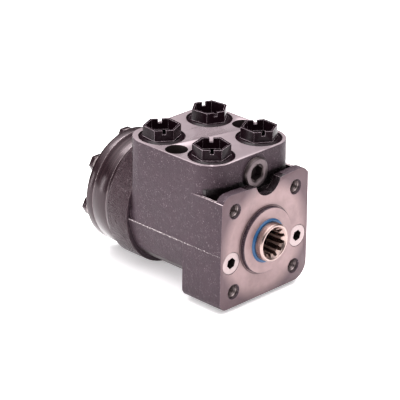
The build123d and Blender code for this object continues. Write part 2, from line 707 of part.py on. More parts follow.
# Spool: the input shaft, with the splined socket, the valve lands and clearance for the pin
spool_pin_hole_r = PIN_R + SPOOL_R * sin(radians(LOST_MOTION)) + 0.15
with BuildPart() as spool:
    with BuildSketch(facing(-JOURNAL_OUT)):
        Circle(JOURNAL_R)
    extrude(amount=-(sleeve_start + JOURNAL_OUT))
    chamfer(spool.faces().sort_by(Axis.Y)[0].edges(), SPOOL_EDGE)
    with BuildSketch(facing(sleeve_start)):
        Circle(SPOOL_R)
    extrude(amount=-(HOUSING_END - END_FIT - sleeve_start))
    with BuildSketch(facing(-JOURNAL_OUT)):
        Circle(SPLINE_ROOT_R)
        half_width = pi * SPLINE_PITCH_R / SPLINE_TEETH / 2
        tooth = spline_tooth(SPLINE_PITCH_R, SPLINE_TIP_R, SPLINE_ROOT_R + 0.3, half_width, FLANK_LEAN)
        for k in range(SPLINE_TEETH):
            with BuildLine(Plane.XY.rotated((0, 0, 360 / SPLINE_TEETH * k))):
                Polyline(*tooth)
            make_face(mode=Mode.SUBTRACT)
    extrude(amount=-SPLINE_LENGTH, mode=Mode.SUBTRACT)
    with BuildSketch(facing(-JOURNAL_OUT)):
        Circle(SPLINE_ROOT_R + 1)
    extrude(amount=-(SPLINE_ROOT_R + 1 - SPLINE_TIP_R), taper=45, mode=Mode.SUBTRACT)
    with BuildSketch(facing(SPLINE_LENGTH - JOURNAL_OUT)):
        Circle(SPLINE_ROOT_R + SPLINE_RELIEF)
    extrude(amount=-(PIN_Y - PIN_ROOM - SPLINE_LENGTH + JOURNAL_OUT), mode=Mode.SUBTRACT)
    with BuildSketch(facing(PIN_Y - PIN_ROOM)):
        Circle(SPOOL_BORE_R)
    extrude(amount=-(HOUSING_END - PIN_Y + PIN_ROOM), mode=Mode.SUBTRACT)
    with BuildSketch(facing(spring_mid - SPRING_WIDTH / 2 - SPRING_CLEAR)):
        Rectangle(2 * SPRING_HALF_SLOT, 2 * SPOOL_R + 2)
    extrude(amount=-(SPRING_WIDTH + 2 * SPRING_CLEAR), mode=Mode.SUBTRACT)
    with BuildSketch(Plane.YZ):
        with Locations((PIN_Y, 0)):
            Circle(spool_pin_hole_r)
    extrude(amount=SPOOL_R + 1, both=True, mode=Mode.SUBTRACT)
    for port_y, (step, length) in ((PORT_Y_FRONT, SPOOL_FRONT_SLOTS), (PORT_Y_REAR, SPOOL_REAR_SLOTS)):
        for k in range(ROTOR_LOBES):
            x, z = around(360 / ROTOR_LOBES * k + 90, SPOOL_R)
            slot_middle = (x, port_y + step + length / 2, z)
            with BuildSketch(Plane(origin=slot_middle, x_dir=(0, 1, 0), z_dir=(x, 0, z))):
                SlotOverall(length, SPOOL_SLOT_WIDTH)
            extrude(amount=-LAND_GROOVE, mode=Mode.SUBTRACT)
finish(spool, "spool")

# Cross pin: couples the sleeve to the cardan shaft through the spool
with BuildPart() as cross_pin:
    with BuildSketch(Plane.YZ):
        with Locations((PIN_Y, 0)):
            Circle(PIN_R)
    extrude(amount=PIN_LENGTH / 2, both=True)
    chamfer(cross_pin.edges().filter_by(GeomType.CIRCLE), 0.4)
finish(cross_pin, "cross_pin")

# Cardan shaft: tilted, because its rear end rides in the orbiting rotor
rotor_mid = PLATE_END + GEAR_WIDTH / 2
tilt = degrees(atan2(ECCENTRICITY, rotor_mid - PIN_Y))
cardan_direction = (0, cos(radians(tilt)), sin(radians(tilt)))
cardan_axis = Plane(origin=(0, PIN_Y, 0), x_dir=(1, 0, 0), z_dir=cardan_direction)
spacer_start = GEAR_END - SPACER_THICK - END_FIT
cardan_end = spacer_start - PIN_Y - 0.5
cardan_tooth_start = PLATE_END - PIN_Y - 1.5
with BuildPart() as cardan_shaft:
    with BuildSketch(cardan_axis.offset(-CARDAN_HEAD_LENGTH / 2)):
        Circle(CARDAN_HEAD_R)
    extrude(amount=CARDAN_HEAD_LENGTH)
    chamfer(cardan_shaft.edges().filter_by(GeomType.CIRCLE), 1.2)
    with BuildSketch(cardan_axis):
        Circle(CARDAN_NECK_R)
    extrude(amount=cardan_end)
    with BuildSketch(cardan_axis.offset(cardan_tooth_start)):
        Circle(CARDAN_ROOT_R)
    extrude(amount=cardan_end - cardan_tooth_start)
    with BuildSketch(cardan_axis.offset(cardan_tooth_start)):
        half_width = pi * CARDAN_PITCH_R / CARDAN_TEETH / 2 - CARDAN_TOOTH_GAP
        tooth = spline_tooth(CARDAN_PITCH_R, CARDAN_ROOT_R - 0.5, CARDAN_TIP_R, half_width, -FLANK_LEAN)
        for k in range(CARDAN_TEETH):
            with BuildLine(Plane.XY.rotated((0, 0, 360 / CARDAN_TEETH * k))):
                Polyline(*tooth)
            make_face()
    extrude(amount=cardan_end - cardan_tooth_start)
    with BuildSketch(cardan_axis.offset(-CARDAN_HEAD_LENGTH / 2)):
        Rectangle(2 * CARDAN_HEAD_R + 2, 2 * PIN_R + CARDAN_SLOT_CLEAR)
    extrude(amount=CARDAN_HEAD_LENGTH / 2 + CARDAN_SLOT_DEEPER, mode=Mode.SUBTRACT)
    with BuildSketch(Plane.YZ):
        with Locations((PIN_Y + CARDAN_SLOT_DEEPER, 0)):
            Circle(PIN_R + CARDAN_SLOT_CLEAR / 2)
    extrude(amount=CARDAN_HEAD_R + 1, both=True, mode=Mode.SUBTRACT)
finish(cardan_shaft, "cardan_shaft")

# Distributor plate: carries the oil from the gallery holes to the gear chambers
with BuildPart() as distributor_plate:
    with BuildSketch(facing(HOUSING_END)):
        Circle(STACK_R)
        Circle(SPOOL_BORE_R + 1, mode=Mode.SUBTRACT)
        for angle in lobe_angles:
            with Locations(around(angle, SCREW_CIRCLE_R)):
                Circle(SCREW_R + SCREW_CLEAR, mode=Mode.SUBTRACT)
        for angle in chamber_angles:
            with Locations(Location((*around(angle, GALLERY_R + 2.4), 0), (0, 0, angle))):
                SlotOverall(2 * GALLERY_HOLE_R + 4.8, 2 * GALLERY_HOLE_R, mode=Mode.SUBTRACT)
    extrude(amount=-PLATE_THICK)
finish(distributor_plate, "distributor_plate")

# Gear ring: the root circle less seven round lobes, with a groove for a seal on each face
root_r = LOBE_CIRCLE_R - LOBE_R + 2 * ECCENTRICITY + MESH_GAP
with BuildPart() as gear_ring:
    with BuildSketch(facing(PLATE_END)):
        Circle(STACK_R)
        with BuildSketch(mode=Mode.SUBTRACT) as cavity:
            Circle(root_r)
            for angle in lobe_angles:
                with Locations(around(angle, LOBE_CIRCLE_R)):
                    Circle(LOBE_R, mode=Mode.SUBTRACT)
            fillet(cavity.vertices(), LOBE_FILLET)
        for angle in lobe_angles:
            with Locations(around(angle, SCREW_CIRCLE_R)):
                Circle(SCREW_R + SCREW_CLEAR, mode=Mode.SUBTRACT)
    extrude(amount=-GEAR_WIDTH)
    for start in (PLATE_END, GEAR_END - seal_groove_depth):
        with BuildSketch(facing(start)):
            Circle(SEAL_GROOVE_R + seal_groove_half)
            Circle(SEAL_GROOVE_R - seal_groove_half, mode=Mode.SUBTRACT)
        extrude(amount=-seal_groove_depth, mode=Mode.SUBTRACT)
finish(gear_ring, "gear_ring")


def rotor_point(turn):
    """Point of the rotor flank that stays in touch with the ring's lobes, offset inward."""
    lean = atan2(
        sin(ROTOR_LOBES * turn),
        LOBE_CIRCLE_R / (ECCENTRICITY * RING_LOBES) - cos(ROTOR_LOBES * turn),
    )
    reach = LOBE_R + MESH_GAP
    across = LOBE_CIRCLE_R * sin(turn) - reach * sin(turn - lean) - ECCENTRICITY * sin(RING_LOBES * turn)
    along = LOBE_CIRCLE_R * cos(turn) - reach * cos(turn - lean) - ECCENTRICITY * cos(RING_LOBES * turn)
    return -across, along


# Rotor: six lobes by the same formula that makes a cycloid gear run inside round pins
with BuildPart() as rotor:
    with BuildSketch(facing(PLATE_END + ROTOR_SIDE_GAP, ECCENTRICITY)):
        with BuildLine():
            Spline(
                *[rotor_point(2 * pi / ROTOR_POINTS * k) for k in range(ROTOR_POINTS)],
                periodic=True,
            )
        make_face()
        Circle(ROTOR_SPLINE_ROOT_R, mode=Mode.SUBTRACT)
        half_width = pi * CARDAN_PITCH_R / CARDAN_TEETH / 2
        tooth = spline_tooth(CARDAN_PITCH_R, ROTOR_SPLINE_TIP_R, ROTOR_SPLINE_ROOT_R + 0.5, half_width, FLANK_LEAN)
        for k in range(CARDAN_TEETH):
            with BuildLine(Plane.XY.rotated((0, 0, 360 / CARDAN_TEETH * (k + 0.5)))):
                Polyline(*tooth)
            make_face()
    extrude(amount=-(GEAR_WIDTH - 2 * ROTOR_SIDE_GAP))
finish(rotor, "rotor")

# Spacer: the loose disc that keeps the cardan shaft off the end cover
with BuildPart() as cardan_spacer:
    with BuildSketch(facing(spacer_start, ECCENTRICITY)):
        Circle(SPACER_R)
    extrude(amount=-SPACER_THICK)
    chamfer(cardan_spacer.edges(), 0.4)
finish(cardan_spacer, "cardan_spacer")

# End cover with a chamfered rim
with BuildPart() as end_cover:
    with BuildSketch(facing(GEAR_END)):
        Circle(STACK_R)
    extrude(amount=-COVER_THICK)
    chamfer(end_cover.faces().sort_by(Axis.Y)[-1].edges(), 0.8)
    with BuildSketch(facing(COVER_END)):
        for angle in lobe_angles:
            with Locations(around(angle, SCREW_CIRCLE_R)):
                Circle(SCREW_R + SCREW_CLEAR)
    extrude(amount=COVER_THICK, mode=Mode.SUBTRACT)
finish(end_cover, "end_cover")

# Face seals: one each side of the gear ring and one on the housing
for label, start in (
    ("housing_seal_ring", HOUSING_END - seal_groove_depth),
    ("plate_seal_ring", PLATE_END),
    ("cover_seal_ring", GEAR_END - seal_groove_depth),
):
    with BuildPart() as seal_ring:
        with BuildSketch(Plane.XY):
            with Locations((SEAL_GROOVE_R, start + seal_groove_depth / 2)):
                Circle(SEAL_CORD_R)
        revolve(axis=Axis.Y)
    finish(seal_ring, label)

# Cover screws with sealing washers; one of them closes the emergency steering check
head_start = COVER_END + WASHER_THICK
for label, angles in (("cover_screws", plain_angles), ("rolled_pin_screw", [special_angle])):
    with BuildPart() as screws:
        with BuildSketch(facing(head_start)):
            for angle in angles:
                with Locations(around(angle, SCREW_CIRCLE_R)):
                    RegularPolygon(SCREW_HEAD_FLATS / 2, 6, major_radius=False)
        extrude(amount=-SCREW_HEAD_HEIGHT)
        chamfer(screws.faces().sort_by(Axis.Y)[-len(angles):].edges(), 0.5)
        with BuildSketch(facing(head_start)):
            for angle in angles:
                with Locations(around(angle, SCREW_CIRCLE_R)):
                    Circle(SCREW_R)
        extrude(amount=head_start - screw_tip)
    finish(screws, label)

with BuildPart() as screw_washers:
    with BuildSketch(facing(COVER_END)):
        for angle in lobe_angles:
            with Locations(around(angle, SCREW_CIRCLE_R)):
                Circle(WASHER_R)
                Circle(SCREW_R + SCREW_CLEAR, mode=Mode.SUBTRACT)
    extrude(amount=-WASHER_THICK)
finish(screw_washers, "screw_washers")

# Emergency steering check: a ball kept near its seat by a rolled pin under the screw
special_place = around(special_angle, SCREW_CIRCLE_R)
with BuildPart() as emergency_ball:
    with Locations((special_place[0], emergency_ball_y, special_place[1])):
        Sphere(EMERGENCY_BALL_R)
finish(emergency_ball, "emergency_ball")

rolled_pin_start = emergency_ball_y + EMERGENCY_BALL_R + VALVE_LIFT + SEAT_GAP
with BuildPart() as rolled_pin:
    with BuildSketch(facing(rolled_pin_start)):
        with Locations(special_place):
            Circle(EMERGENCY_HOLE_R - PLUG_GAP)
            Circle(EMERGENCY_HOLE_R - ROLLED_PIN_WALL, mode=Mode.SUBTRACT)
        with Locations((special_place[0] + EMERGENCY_HOLE_R, special_place[1])):
            Rectangle(2 * EMERGENCY_HOLE_R, ROLLED_PIN_SLIT, mode=Mode.SUBTRACT)
    extrude(amount=rolled_pin_start - screw_tip + SEAT_GAP)
finish(rolled_pin, "rolled_pin")

# Suction valves: a ball and a rolled stop pin in each of two rear face bores
suction_pin_start = suction_ball_y + SUCTION_BALL_R + VALVE_LIFT + SEAT_GAP
for label, angle in (("suction_ball_left", suction_angles[0]), ("suction_ball_right", suction_angles[1])):
    with BuildPart() as suction_ball:
        x, z = around(angle, SUCTION_CIRCLE_R)
        with Locations((x, suction_ball_y, z)):
            Sphere(SUCTION_BALL_R)
    finish(suction_ball, label)

with BuildPart() as suction_pins:
    with BuildSketch(facing(suction_pin_start)):
        for angle in suction_angles:
            x, z = around(angle, SUCTION_CIRCLE_R)
            with Locations((x, z)):
                Circle(SUCTION_HOLE_R - PLUG_GAP)
                Circle(SUCTION_HOLE_R - ROLLED_PIN_WALL, mode=Mode.SUBTRACT)
            with Locations((x, z + SUCTION_HOLE_R)):
                Rectangle(ROLLED_PIN_SLIT, 2 * SUCTION_HOLE_R, mode=Mode.SUBTRACT)
    extrude(amount=suction_pin_start - HOUSING_END + PLUG_GAP)
finish(suction_pins, "suction_pins")

# Check valve in the pressure port: a threaded bush whose lower edge is the ball's seat
port_x, port_y = port_places[0]
with BuildPart() as check_bush:
    with BuildSketch(Plane.XY.offset(check_seat)):
        with Locations((port_x, port_y)):
            Circle(CHECK_BUSH_R)
            Circle(CHECK_BUSH_HOLE_R, mode=Mode.SUBTRACT)
    extrude(amount=CHECK_BUSH_LENGTH)
    with BuildSketch(Plane.XY.offset(port_floor)):
        with Locations((port_x, port_y)):
            RegularPolygon(CHECK_BUSH_HEX / 2, 6, major_radius=False)
    extrude(amount=-3, mode=Mode.SUBTRACT)
finish(check_bush, "check_bush")

with BuildPart() as check_ball:
    with Locations((port_x, port_y, check_ball_low)):
        Sphere(CHECK_BALL_R)
finish(check_ball, "check_ball")


def coil(plane, length, mean_r, wire_r):
    """Round wire wound about the plane's axis, from the plane to its length."""
    path = plane.location * Helix(pitch=length / COIL_TURNS, height=length, radius=mean_r)
    with BuildPart() as wound:
        with BuildSketch(Plane(origin=path @ 0, z_dir=path % 0)):
            Circle(wire_r)
        sweep(path=path, is_frenet=True)
    return wound


# Relief valve in the front of the port block: plug, washer, adjuster, spring, cone and seat
relief_head_front = relief_spot - RELIEF_WASHER_THICK - RELIEF_HEAD_THICK
with BuildPart() as relief_plug:
    with BuildSketch(facing(relief_head_front)):
        with Locations((RELIEF_X, RELIEF_Z)):
            Circle(RELIEF_HEAD_R)
    extrude(amount=-RELIEF_HEAD_THICK)
    chamfer(relief_plug.faces().sort_by(Axis.Y)[0].edges(), 1.2)
    with BuildSketch(facing(relief_head_front + RELIEF_HEAD_THICK)):
        with Locations((RELIEF_X, RELIEF_Z)):
            Circle(RELIEF_THREAD_R)
    extrude(amount=-(relief_plug_end - relief_head_front - RELIEF_HEAD_THICK - PLUG_GAP))
    with BuildSketch(facing(relief_head_front)):
        with Locations((RELIEF_X, RELIEF_Z)):
            Circle(RELIEF_HEX / 2 + 1.6)
    extrude(amount=-1, taper=45, mode=Mode.SUBTRACT)
    with BuildSketch(facing(relief_head_front)):
        with Locations((RELIEF_X, RELIEF_Z)):
            RegularPolygon(RELIEF_HEX / 2, 6, major_radius=False, rotation=RELIEF_HEX_TURN)
    extrude(amount=-SOCKET_DEPTH, mode=Mode.SUBTRACT)
finish(relief_plug, "relief_plug")

with BuildPart() as relief_washer:
    with BuildSketch(facing(relief_spot - RELIEF_WASHER_THICK)):
        with Locations((RELIEF_X, RELIEF_Z)):
            Circle(RELIEF_HEAD_R - 0.4)
            Circle(RELIEF_THREAD_R + 0.1, mode=Mode.SUBTRACT)
    extrude(amount=-RELIEF_WASHER_THICK)
finish(relief_washer, "relief_plug_washer")

adjuster_end = relief_plug_end + ADJUSTER_THICK
with BuildPart() as relief_adjuster:
    with BuildSketch(facing(relief_plug_end)):
        with Locations((RELIEF_X, RELIEF_Z)):
            Circle(RELIEF_CHAMBER_R - PLUG_GAP)
            RegularPolygon(ADJUSTER_HEX / 2, 6, major_radius=False, mode=Mode.SUBTRACT)
    extrude(amount=-ADJUSTER_THICK)
finish(relief_adjuster, "relief_adjuster")

relief_cone_start = RELIEF_SEAT_START - (RELIEF_POPPET_R - RELIEF_SEAT_HOLE_R) - SEAT_GAP
relief_shoulder = relief_cone_start - RELIEF_DRUM_LENGTH
relief_stem_start = relief_shoulder - RELIEF_STEM_LENGTH
relief_cone_end = relief_cone_start + RELIEF_CONE_LENGTH
with BuildPart() as relief_poppet:
    with BuildSketch(Plane.XY.offset(RELIEF_Z)):
        with BuildLine():
            Polyline(
                (RELIEF_X, relief_stem_start),
                (RELIEF_X + RELIEF_STEM_R, relief_stem_start),
                (RELIEF_X + RELIEF_STEM_R, relief_shoulder),
                (RELIEF_X + RELIEF_POPPET_R, relief_shoulder),
                (RELIEF_X + RELIEF_POPPET_R, relief_cone_start),
                (RELIEF_X + RELIEF_POPPET_R - RELIEF_CONE_LENGTH, relief_cone_end),
                (RELIEF_X, relief_cone_end),
                (RELIEF_X, relief_stem_start),
            )
        make_face()
    revolve(axis=Axis((RELIEF_X, 0, RELIEF_Z), (0, 1, 0)))
finish(relief_poppet, "relief_poppet")

with BuildPart() as relief_seat:
    with BuildSketch(facing(RELIEF_SEAT_START)):
        with Locations((RELIEF_X, RELIEF_Z)):
            Circle(RELIEF_CHAMBER_R - PLUG_GAP)
            Circle(RELIEF_SEAT_HOLE_R, mode=Mode.SUBTRACT)
    extrude(amount=-RELIEF_SEAT_THICK)
finish(relief_seat, "relief_seat")

relief_coil_start = adjuster_end + RELIEF_WIRE_R + SEAT_GAP
relief_coil_end = relief_shoulder - RELIEF_WIRE_R - SEAT_GAP
relief_spring = coil(
    Plane(origin=(RELIEF_X, relief_coil_start, RELIEF_Z), z_dir=(0, 1, 0)),
    relief_coil_end - relief_coil_start,
    RELIEF_COIL_R,
    RELIEF_WIRE_R,
)
finish(relief_spring, "relief_spring")

# Shock valves: flush socket plugs, springs, balls and seats, one set each side
with BuildPart() as shock_plugs:
    with BuildSketch(facing(SEAT_GAP)):
        with Locations(*shock_places):
            Circle(SHOCK_HEAD_R)
    extrude(amount=-(SHOCK_HEAD_THICK - SEAT_GAP))
    chamfer(shock_plugs.faces().sort_by(Axis.Y)[:2].edges(), 0.4)
    with BuildSketch(facing(SHOCK_HEAD_THICK)):
        with Locations(*shock_places):
            Circle(SHOCK_THREAD_R)
    extrude(amount=-(SHOCK_PLUG_END - SHOCK_HEAD_THICK - PLUG_GAP))
    with BuildSketch(facing(SHOCK_HEAD_THICK)):
        with Locations(*shock_places):
            Circle(SHOCK_THREAD_R + SHOCK_SEAL_DEPTH)
            Circle(SHOCK_THREAD_R - SHOCK_SEAL_DEPTH, mode=Mode.SUBTRACT)
    extrude(amount=-(SHOCK_SEAL_WIDTH + 2 * PLUG_GAP), mode=Mode.SUBTRACT)
    with BuildSketch(facing(SEAT_GAP)):
        with Locations(*shock_places):
            RegularPolygon(SHOCK_HEX / 2, 6, major_radius=False, rotation=SHOCK_HEX_TURN)
    extrude(amount=-SOCKET_DEPTH, mode=Mode.SUBTRACT)
finish(shock_plugs, "shock_plugs")

with BuildPart() as shock_plug_seals:
    with BuildSketch(facing(SHOCK_HEAD_THICK + PLUG_GAP)):
        with Locations(*shock_places):
            Circle(SHOCK_THREAD_R)
            Circle(SHOCK_THREAD_R - SHOCK_SEAL_DEPTH + PLUG_GAP, mode=Mode.SUBTRACT)
    extrude(amount=-SHOCK_SEAL_WIDTH)
finish(shock_plug_seals, "shock_plug_seals")

with BuildPart() as shock_seats:
    with BuildSketch(facing(SHOCK_SEAT_START)):
        with Locations(*shock_places):
            Circle(SHOCK_CHAMBER_R)
            Circle(SHOCK_SEAT_HOLE_R, mode=Mode.SUBTRACT)
    extrude(amount=-(SHOCK_SEAT_THICK - PLUG_GAP))
finish(shock_seats, "shock_seats")

shock_coil_start = SHOCK_PLUG_END + SHOCK_WIRE_R + SEAT_GAP
shock_coil_end = shock_ball_y - sqrt((SHOCK_BALL_R + SHOCK_WIRE_R) ** 2 - SHOCK_COIL_R**2) - SEAT_GAP
for side, (x, z) in zip(("left", "right"), shock_places):
    with BuildPart() as shock_ball:
        with Locations((x, shock_ball_y, z)):
            Sphere(SHOCK_BALL_R)
    finish(shock_ball, f"shock_ball_{side}")
    shock_spring = coil(
        Plane(origin=(x, shock_coil_start, z), z_dir=(0, 1, 0)),
        shock_coil_end - shock_coil_start,
        SHOCK_COIL_R,
        SHOCK_WIRE_R,
    )
    finish(shock_spring, f"shock_spring_{side}")

# Transport plugs: a hollow screwed shank, a coned flange and a slotted hexagonal cup
cap_corner_r = CAP_HEX_FLATS / sqrt(3)
cap_places = zip(("front_left", "front_right", "rear_left", "rear_right"), port_places, CAP_TURNS)
for name, (x, y), turn in cap_places:
    with BuildPart() as cap:
        with BuildSketch(Plane.XY.offset(spot_face)):
            with Locations((x, y)):
                Circle(CAP_FLANGE_R)
        extrude(amount=CAP_RIM)
        with BuildSketch(Plane.XY.offset(spot_face + CAP_RIM)):
            with Locations((x, y)):
                Circle(CAP_FLANGE_R)
        with BuildSketch(Plane.XY.offset(spot_face + CAP_CONE_TOP)):
            with Locations((x, y)):
                Circle(cap_corner_r + 0.3)
        loft()
        with BuildSketch(Plane.XY.offset(spot_face)):
            with Locations((x, y)):
                RegularPolygon(CAP_HEX_FLATS / 2, 6, major_radius=False, rotation=turn)
        extrude(amount=CAP_HEIGHT)
        with BuildSketch(Plane.XY.offset(spot_face + CAP_HEIGHT)):
            with Locations((x, y)):
                RegularPolygon(CAP_HEX_FLATS / 2 - CAP_WALL, 6, major_radius=False, rotation=turn)
        extrude(amount=-(CAP_HEIGHT - CAP_FLOOR), mode=Mode.SUBTRACT)
        with BuildSketch(Plane.XY.offset(spot_face + CAP_HEIGHT)):
            with Locations(Location((x, y, 0), (0, 0, turn + 30))):
                Rectangle(2 * cap_corner_r + 2, CAP_NOTCH)
        extrude(amount=-CAP_NOTCH_DEPTH, mode=Mode.SUBTRACT)
        with BuildSketch(Plane.XY.offset(spot_face)):
            with Locations((x, y)):
                Circle(CAP_SHANK_R)
        extrude(amount=-CAP_SHANK_LENGTH)
        with BuildSketch(Plane.XY.offset(spot_face - CAP_SHANK_LENGTH)):
            with Locations((x, y)):
                Circle(CAP_SHANK_R - CAP_WALL)
        extrude(amount=CAP_SHANK_LENGTH, mode=Mode.SUBTRACT)
    finish(cap, f"port_plug_{name}")
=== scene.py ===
# %% [markdown]
# # An orbital steering unit, dressed around its solids
# The unit turns a steering wheel's rotation into metered oil. Its solids come in ready made, each in
# its place, so this script only gives them their surfaces: rounded edges, cast skin, turned faces,
# threads and wear. Everything is in metres, +Y runs from the mounting flange to the end cover and +Z
# is up through the hose ports.

# %% Load the solids
import json
from math import cos, hypot, pi, radians, sin

import bmesh
import bpy
from mathutils import Matrix, Vector, noise


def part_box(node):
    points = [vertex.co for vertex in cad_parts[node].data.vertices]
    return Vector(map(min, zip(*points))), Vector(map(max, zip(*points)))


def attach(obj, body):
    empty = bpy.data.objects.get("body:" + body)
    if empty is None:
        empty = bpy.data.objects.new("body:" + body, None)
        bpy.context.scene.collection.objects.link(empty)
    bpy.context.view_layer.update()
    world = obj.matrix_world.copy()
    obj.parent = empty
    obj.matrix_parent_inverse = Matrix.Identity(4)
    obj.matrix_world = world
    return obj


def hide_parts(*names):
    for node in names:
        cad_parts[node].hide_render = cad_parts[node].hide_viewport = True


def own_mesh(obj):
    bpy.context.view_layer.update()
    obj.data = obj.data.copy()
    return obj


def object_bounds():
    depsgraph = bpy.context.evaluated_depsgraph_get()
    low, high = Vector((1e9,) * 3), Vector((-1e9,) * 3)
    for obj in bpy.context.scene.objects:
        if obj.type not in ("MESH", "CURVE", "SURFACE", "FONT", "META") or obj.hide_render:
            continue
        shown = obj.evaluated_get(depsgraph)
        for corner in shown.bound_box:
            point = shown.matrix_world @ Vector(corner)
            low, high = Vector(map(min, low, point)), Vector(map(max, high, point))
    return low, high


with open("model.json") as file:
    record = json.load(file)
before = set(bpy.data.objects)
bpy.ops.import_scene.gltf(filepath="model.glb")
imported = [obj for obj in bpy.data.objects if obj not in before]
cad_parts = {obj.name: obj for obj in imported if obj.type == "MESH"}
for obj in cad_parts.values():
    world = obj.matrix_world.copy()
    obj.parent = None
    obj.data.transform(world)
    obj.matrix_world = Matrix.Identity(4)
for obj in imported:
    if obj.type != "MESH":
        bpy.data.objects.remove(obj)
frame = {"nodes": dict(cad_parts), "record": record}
solid_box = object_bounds()
MM = 0.001
Y, Z = Vector((0, 1, 0)), Vector((0, 0, 1))
body_of = {node: body for body, held in frame["record"]["behaviour"]["bodies"].items() for node in held}
print("solids:", len(frame["nodes"]), "box in mm:", [[round(v / MM, 1) for v in c] for c in solid_box])

# %% [markdown]
# ## The camera
# The reference view looks at the flange's face from its left front, a little from above, through a
# long lens: the object's far edges are hardly smaller than its near ones. The place comes from
# fitting the bolt circle, the ports and the block's edges, so it is given as an aim point, two turns,
# a small roll and a distance.

# %% Set up the camera
AIM = Vector((0, 55, 20)) * MM
CAMERA_TURN, CAMERA_RISE, CAMERA_ROLL = radians(45.84), radians(23.97), radians(0.87)
CAMERA_DISTANCE = 1.6951
CAMERA_SLIDE, CAMERA_LIFT = -4.11 * MM, -8.45 * MM
FOCAL_PIXELS, FRAME_PIXELS, SENSOR_MM = 2507.5, 400, 36

look = Vector((
    sin(CAMERA_TURN) * cos(CAMERA_RISE),
    cos(CAMERA_TURN) * cos(CAMERA_RISE),
    -sin(CAMERA_RISE),
))
level_right = Vector((cos(CAMERA_TURN), -sin(CAMERA_TURN), 0))
level_up = level_right.cross(look)
right = cos(CAMERA_ROLL) * level_right + sin(CAMERA_ROLL) * level_up
up = cos(CAMERA_ROLL) * level_up - sin(CAMERA_ROLL) * level_right
camera_data = bpy.data.cameras.new("camera")
camera_data.sensor_width = SENSOR_MM
camera_data.lens = FOCAL_PIXELS / FRAME_PIXELS * SENSOR_MM
camera = bpy.data.objects.new("camera", camera_data)
place = AIM - CAMERA_DISTANCE * look + CAMERA_SLIDE * right + CAMERA_LIFT * up
camera.matrix_world = Matrix.Translation(place) @ Matrix((right, up, -look)).transposed().to_4x4()
bpy.context.collection.objects.link(camera)
bpy.context.scene.camera = camera
print("lens in mm:", round(camera_data.lens, 1))

# %% [markdown]
# ## The lights
# A dark casting needs broad, soft reflections, so it is lit by soft boxes and not by spots: a weak one
# over the flange side, a narrow one on the left that draws a bright streak down the glossy gear stack,
# a large one overhead, which does most of the work, and a narrow one low behind the left side.

# %% Light the room
def soft_box(name, where, size, watts):
    """A rectangular studio light that faces the aim point."""
    data = bpy.data.lights.new(name, "AREA")
    data.shape = "RECTANGLE"
    data.size, data.size_y = size
    data.energy = watts
    light = bpy.data.objects.new(name, data)
    turn = (where - AIM).to_track_quat("Z", "Y").to_matrix().to_4x4()
    light.matrix_world = Matrix.Translation(where) @ turn
    bpy.context.collection.objects.link(light)
    print("light:", name, "watts:", watts)


soft_box("key_box", Vector((0.55, -1.0, 0.55)), (0.8, 0.6), 1.3)
soft_box("left_box", Vector((-1.2, 0.25, 0.35)), (0.16, 0.9), 4.5)
soft_box("top_box", Vector((0.1, 0.5, 1.3)), (0.9, 0.7), 12)
soft_box("rear_strip", Vector((-1.1, 1.0, 0.14)), (0.2, 0.7), 3.0)

# %% [markdown]
# ## The room
# What the soft boxes don't reach is lit by the room. A plain white world would fill every shadow and
# make the casting flat. So the world is a white ceiling over grey walls: its strength grows with the
# height of the direction, and the walls keep the upright faces dark.

# %% Paint the room
WALL_LIGHT, CEILING_LIGHT = 0.15, 3.4
WALL_TOP, CEILING_EDGE = 0.5, 0.95
ROOM_WHITE = (1, 0.985, 0.99, 1)
world = bpy.data.worlds.new("white_room")
bpy.context.scene.world = world
world.use_nodes = True
room = world.node_tree
background = room.nodes["Background"]
background.inputs["Color"].default_value = ROOM_WHITE
direction = room.nodes.new("ShaderNodeTexCoord")
height = room.nodes.new("ShaderNodeSeparateXYZ")
brightness = room.nodes.new("ShaderNodeMapRange")
brightness.inputs["From Min"].default_value = WALL_TOP
brightness.inputs["From Max"].default_value = CEILING_EDGE
brightness.inputs["To Min"].default_value = WALL_LIGHT
brightness.inputs["To Max"].default_value = CEILING_LIGHT
room.links.new(direction.outputs["Generated"], height.inputs["Vector"])
room.links.new(height.outputs["Z"], brightness.inputs["Value"])
room.links.new(brightness.outputs["Result"], background.inputs["Strength"])
bpy.context.scene.view_settings.view_transform = "Standard"
bpy.context.scene.view_settings.look = "Medium High Contrast"
print("room: walls", WALL_LIGHT, "ceiling", CEILING_LIGHT)

# %% [markdown]
# ## Shared effects
# Five effects are node groups with named sockets: the skin of a sand casting, wear along edges, the
# rings that a lathe leaves on a face, the fine lines that grinding leaves round a shaft, and painted
# shade in the pocket behind the ears. They could be built again in each material, but a group is built
# once and tuned by its inputs. It only gives out masks and heights, and each material mixes them into its own
# colours.

# %% Helpers for node groups
def node_group(name, inputs, outputs):
    """An empty shader node group with float sockets: inputs is {name: value}, outputs a list of names."""
    group = bpy.data.node_groups.new(name, "ShaderNodeTree")
    for label, value in inputs.items():
        socket = group.interface.new_socket(label, in_out="INPUT", socket_type="NodeSocketFloat")
        socket.default_value = value
    for label in outputs:
        group.interface.new_socket(label, in_out="OUTPUT", socket_type="NodeSocketFloat")
    print("effect:", name, "gives", ", ".join(outputs))
    return group, group.nodes.new("NodeGroupInput"), group.nodes.new("NodeGroupOutput")


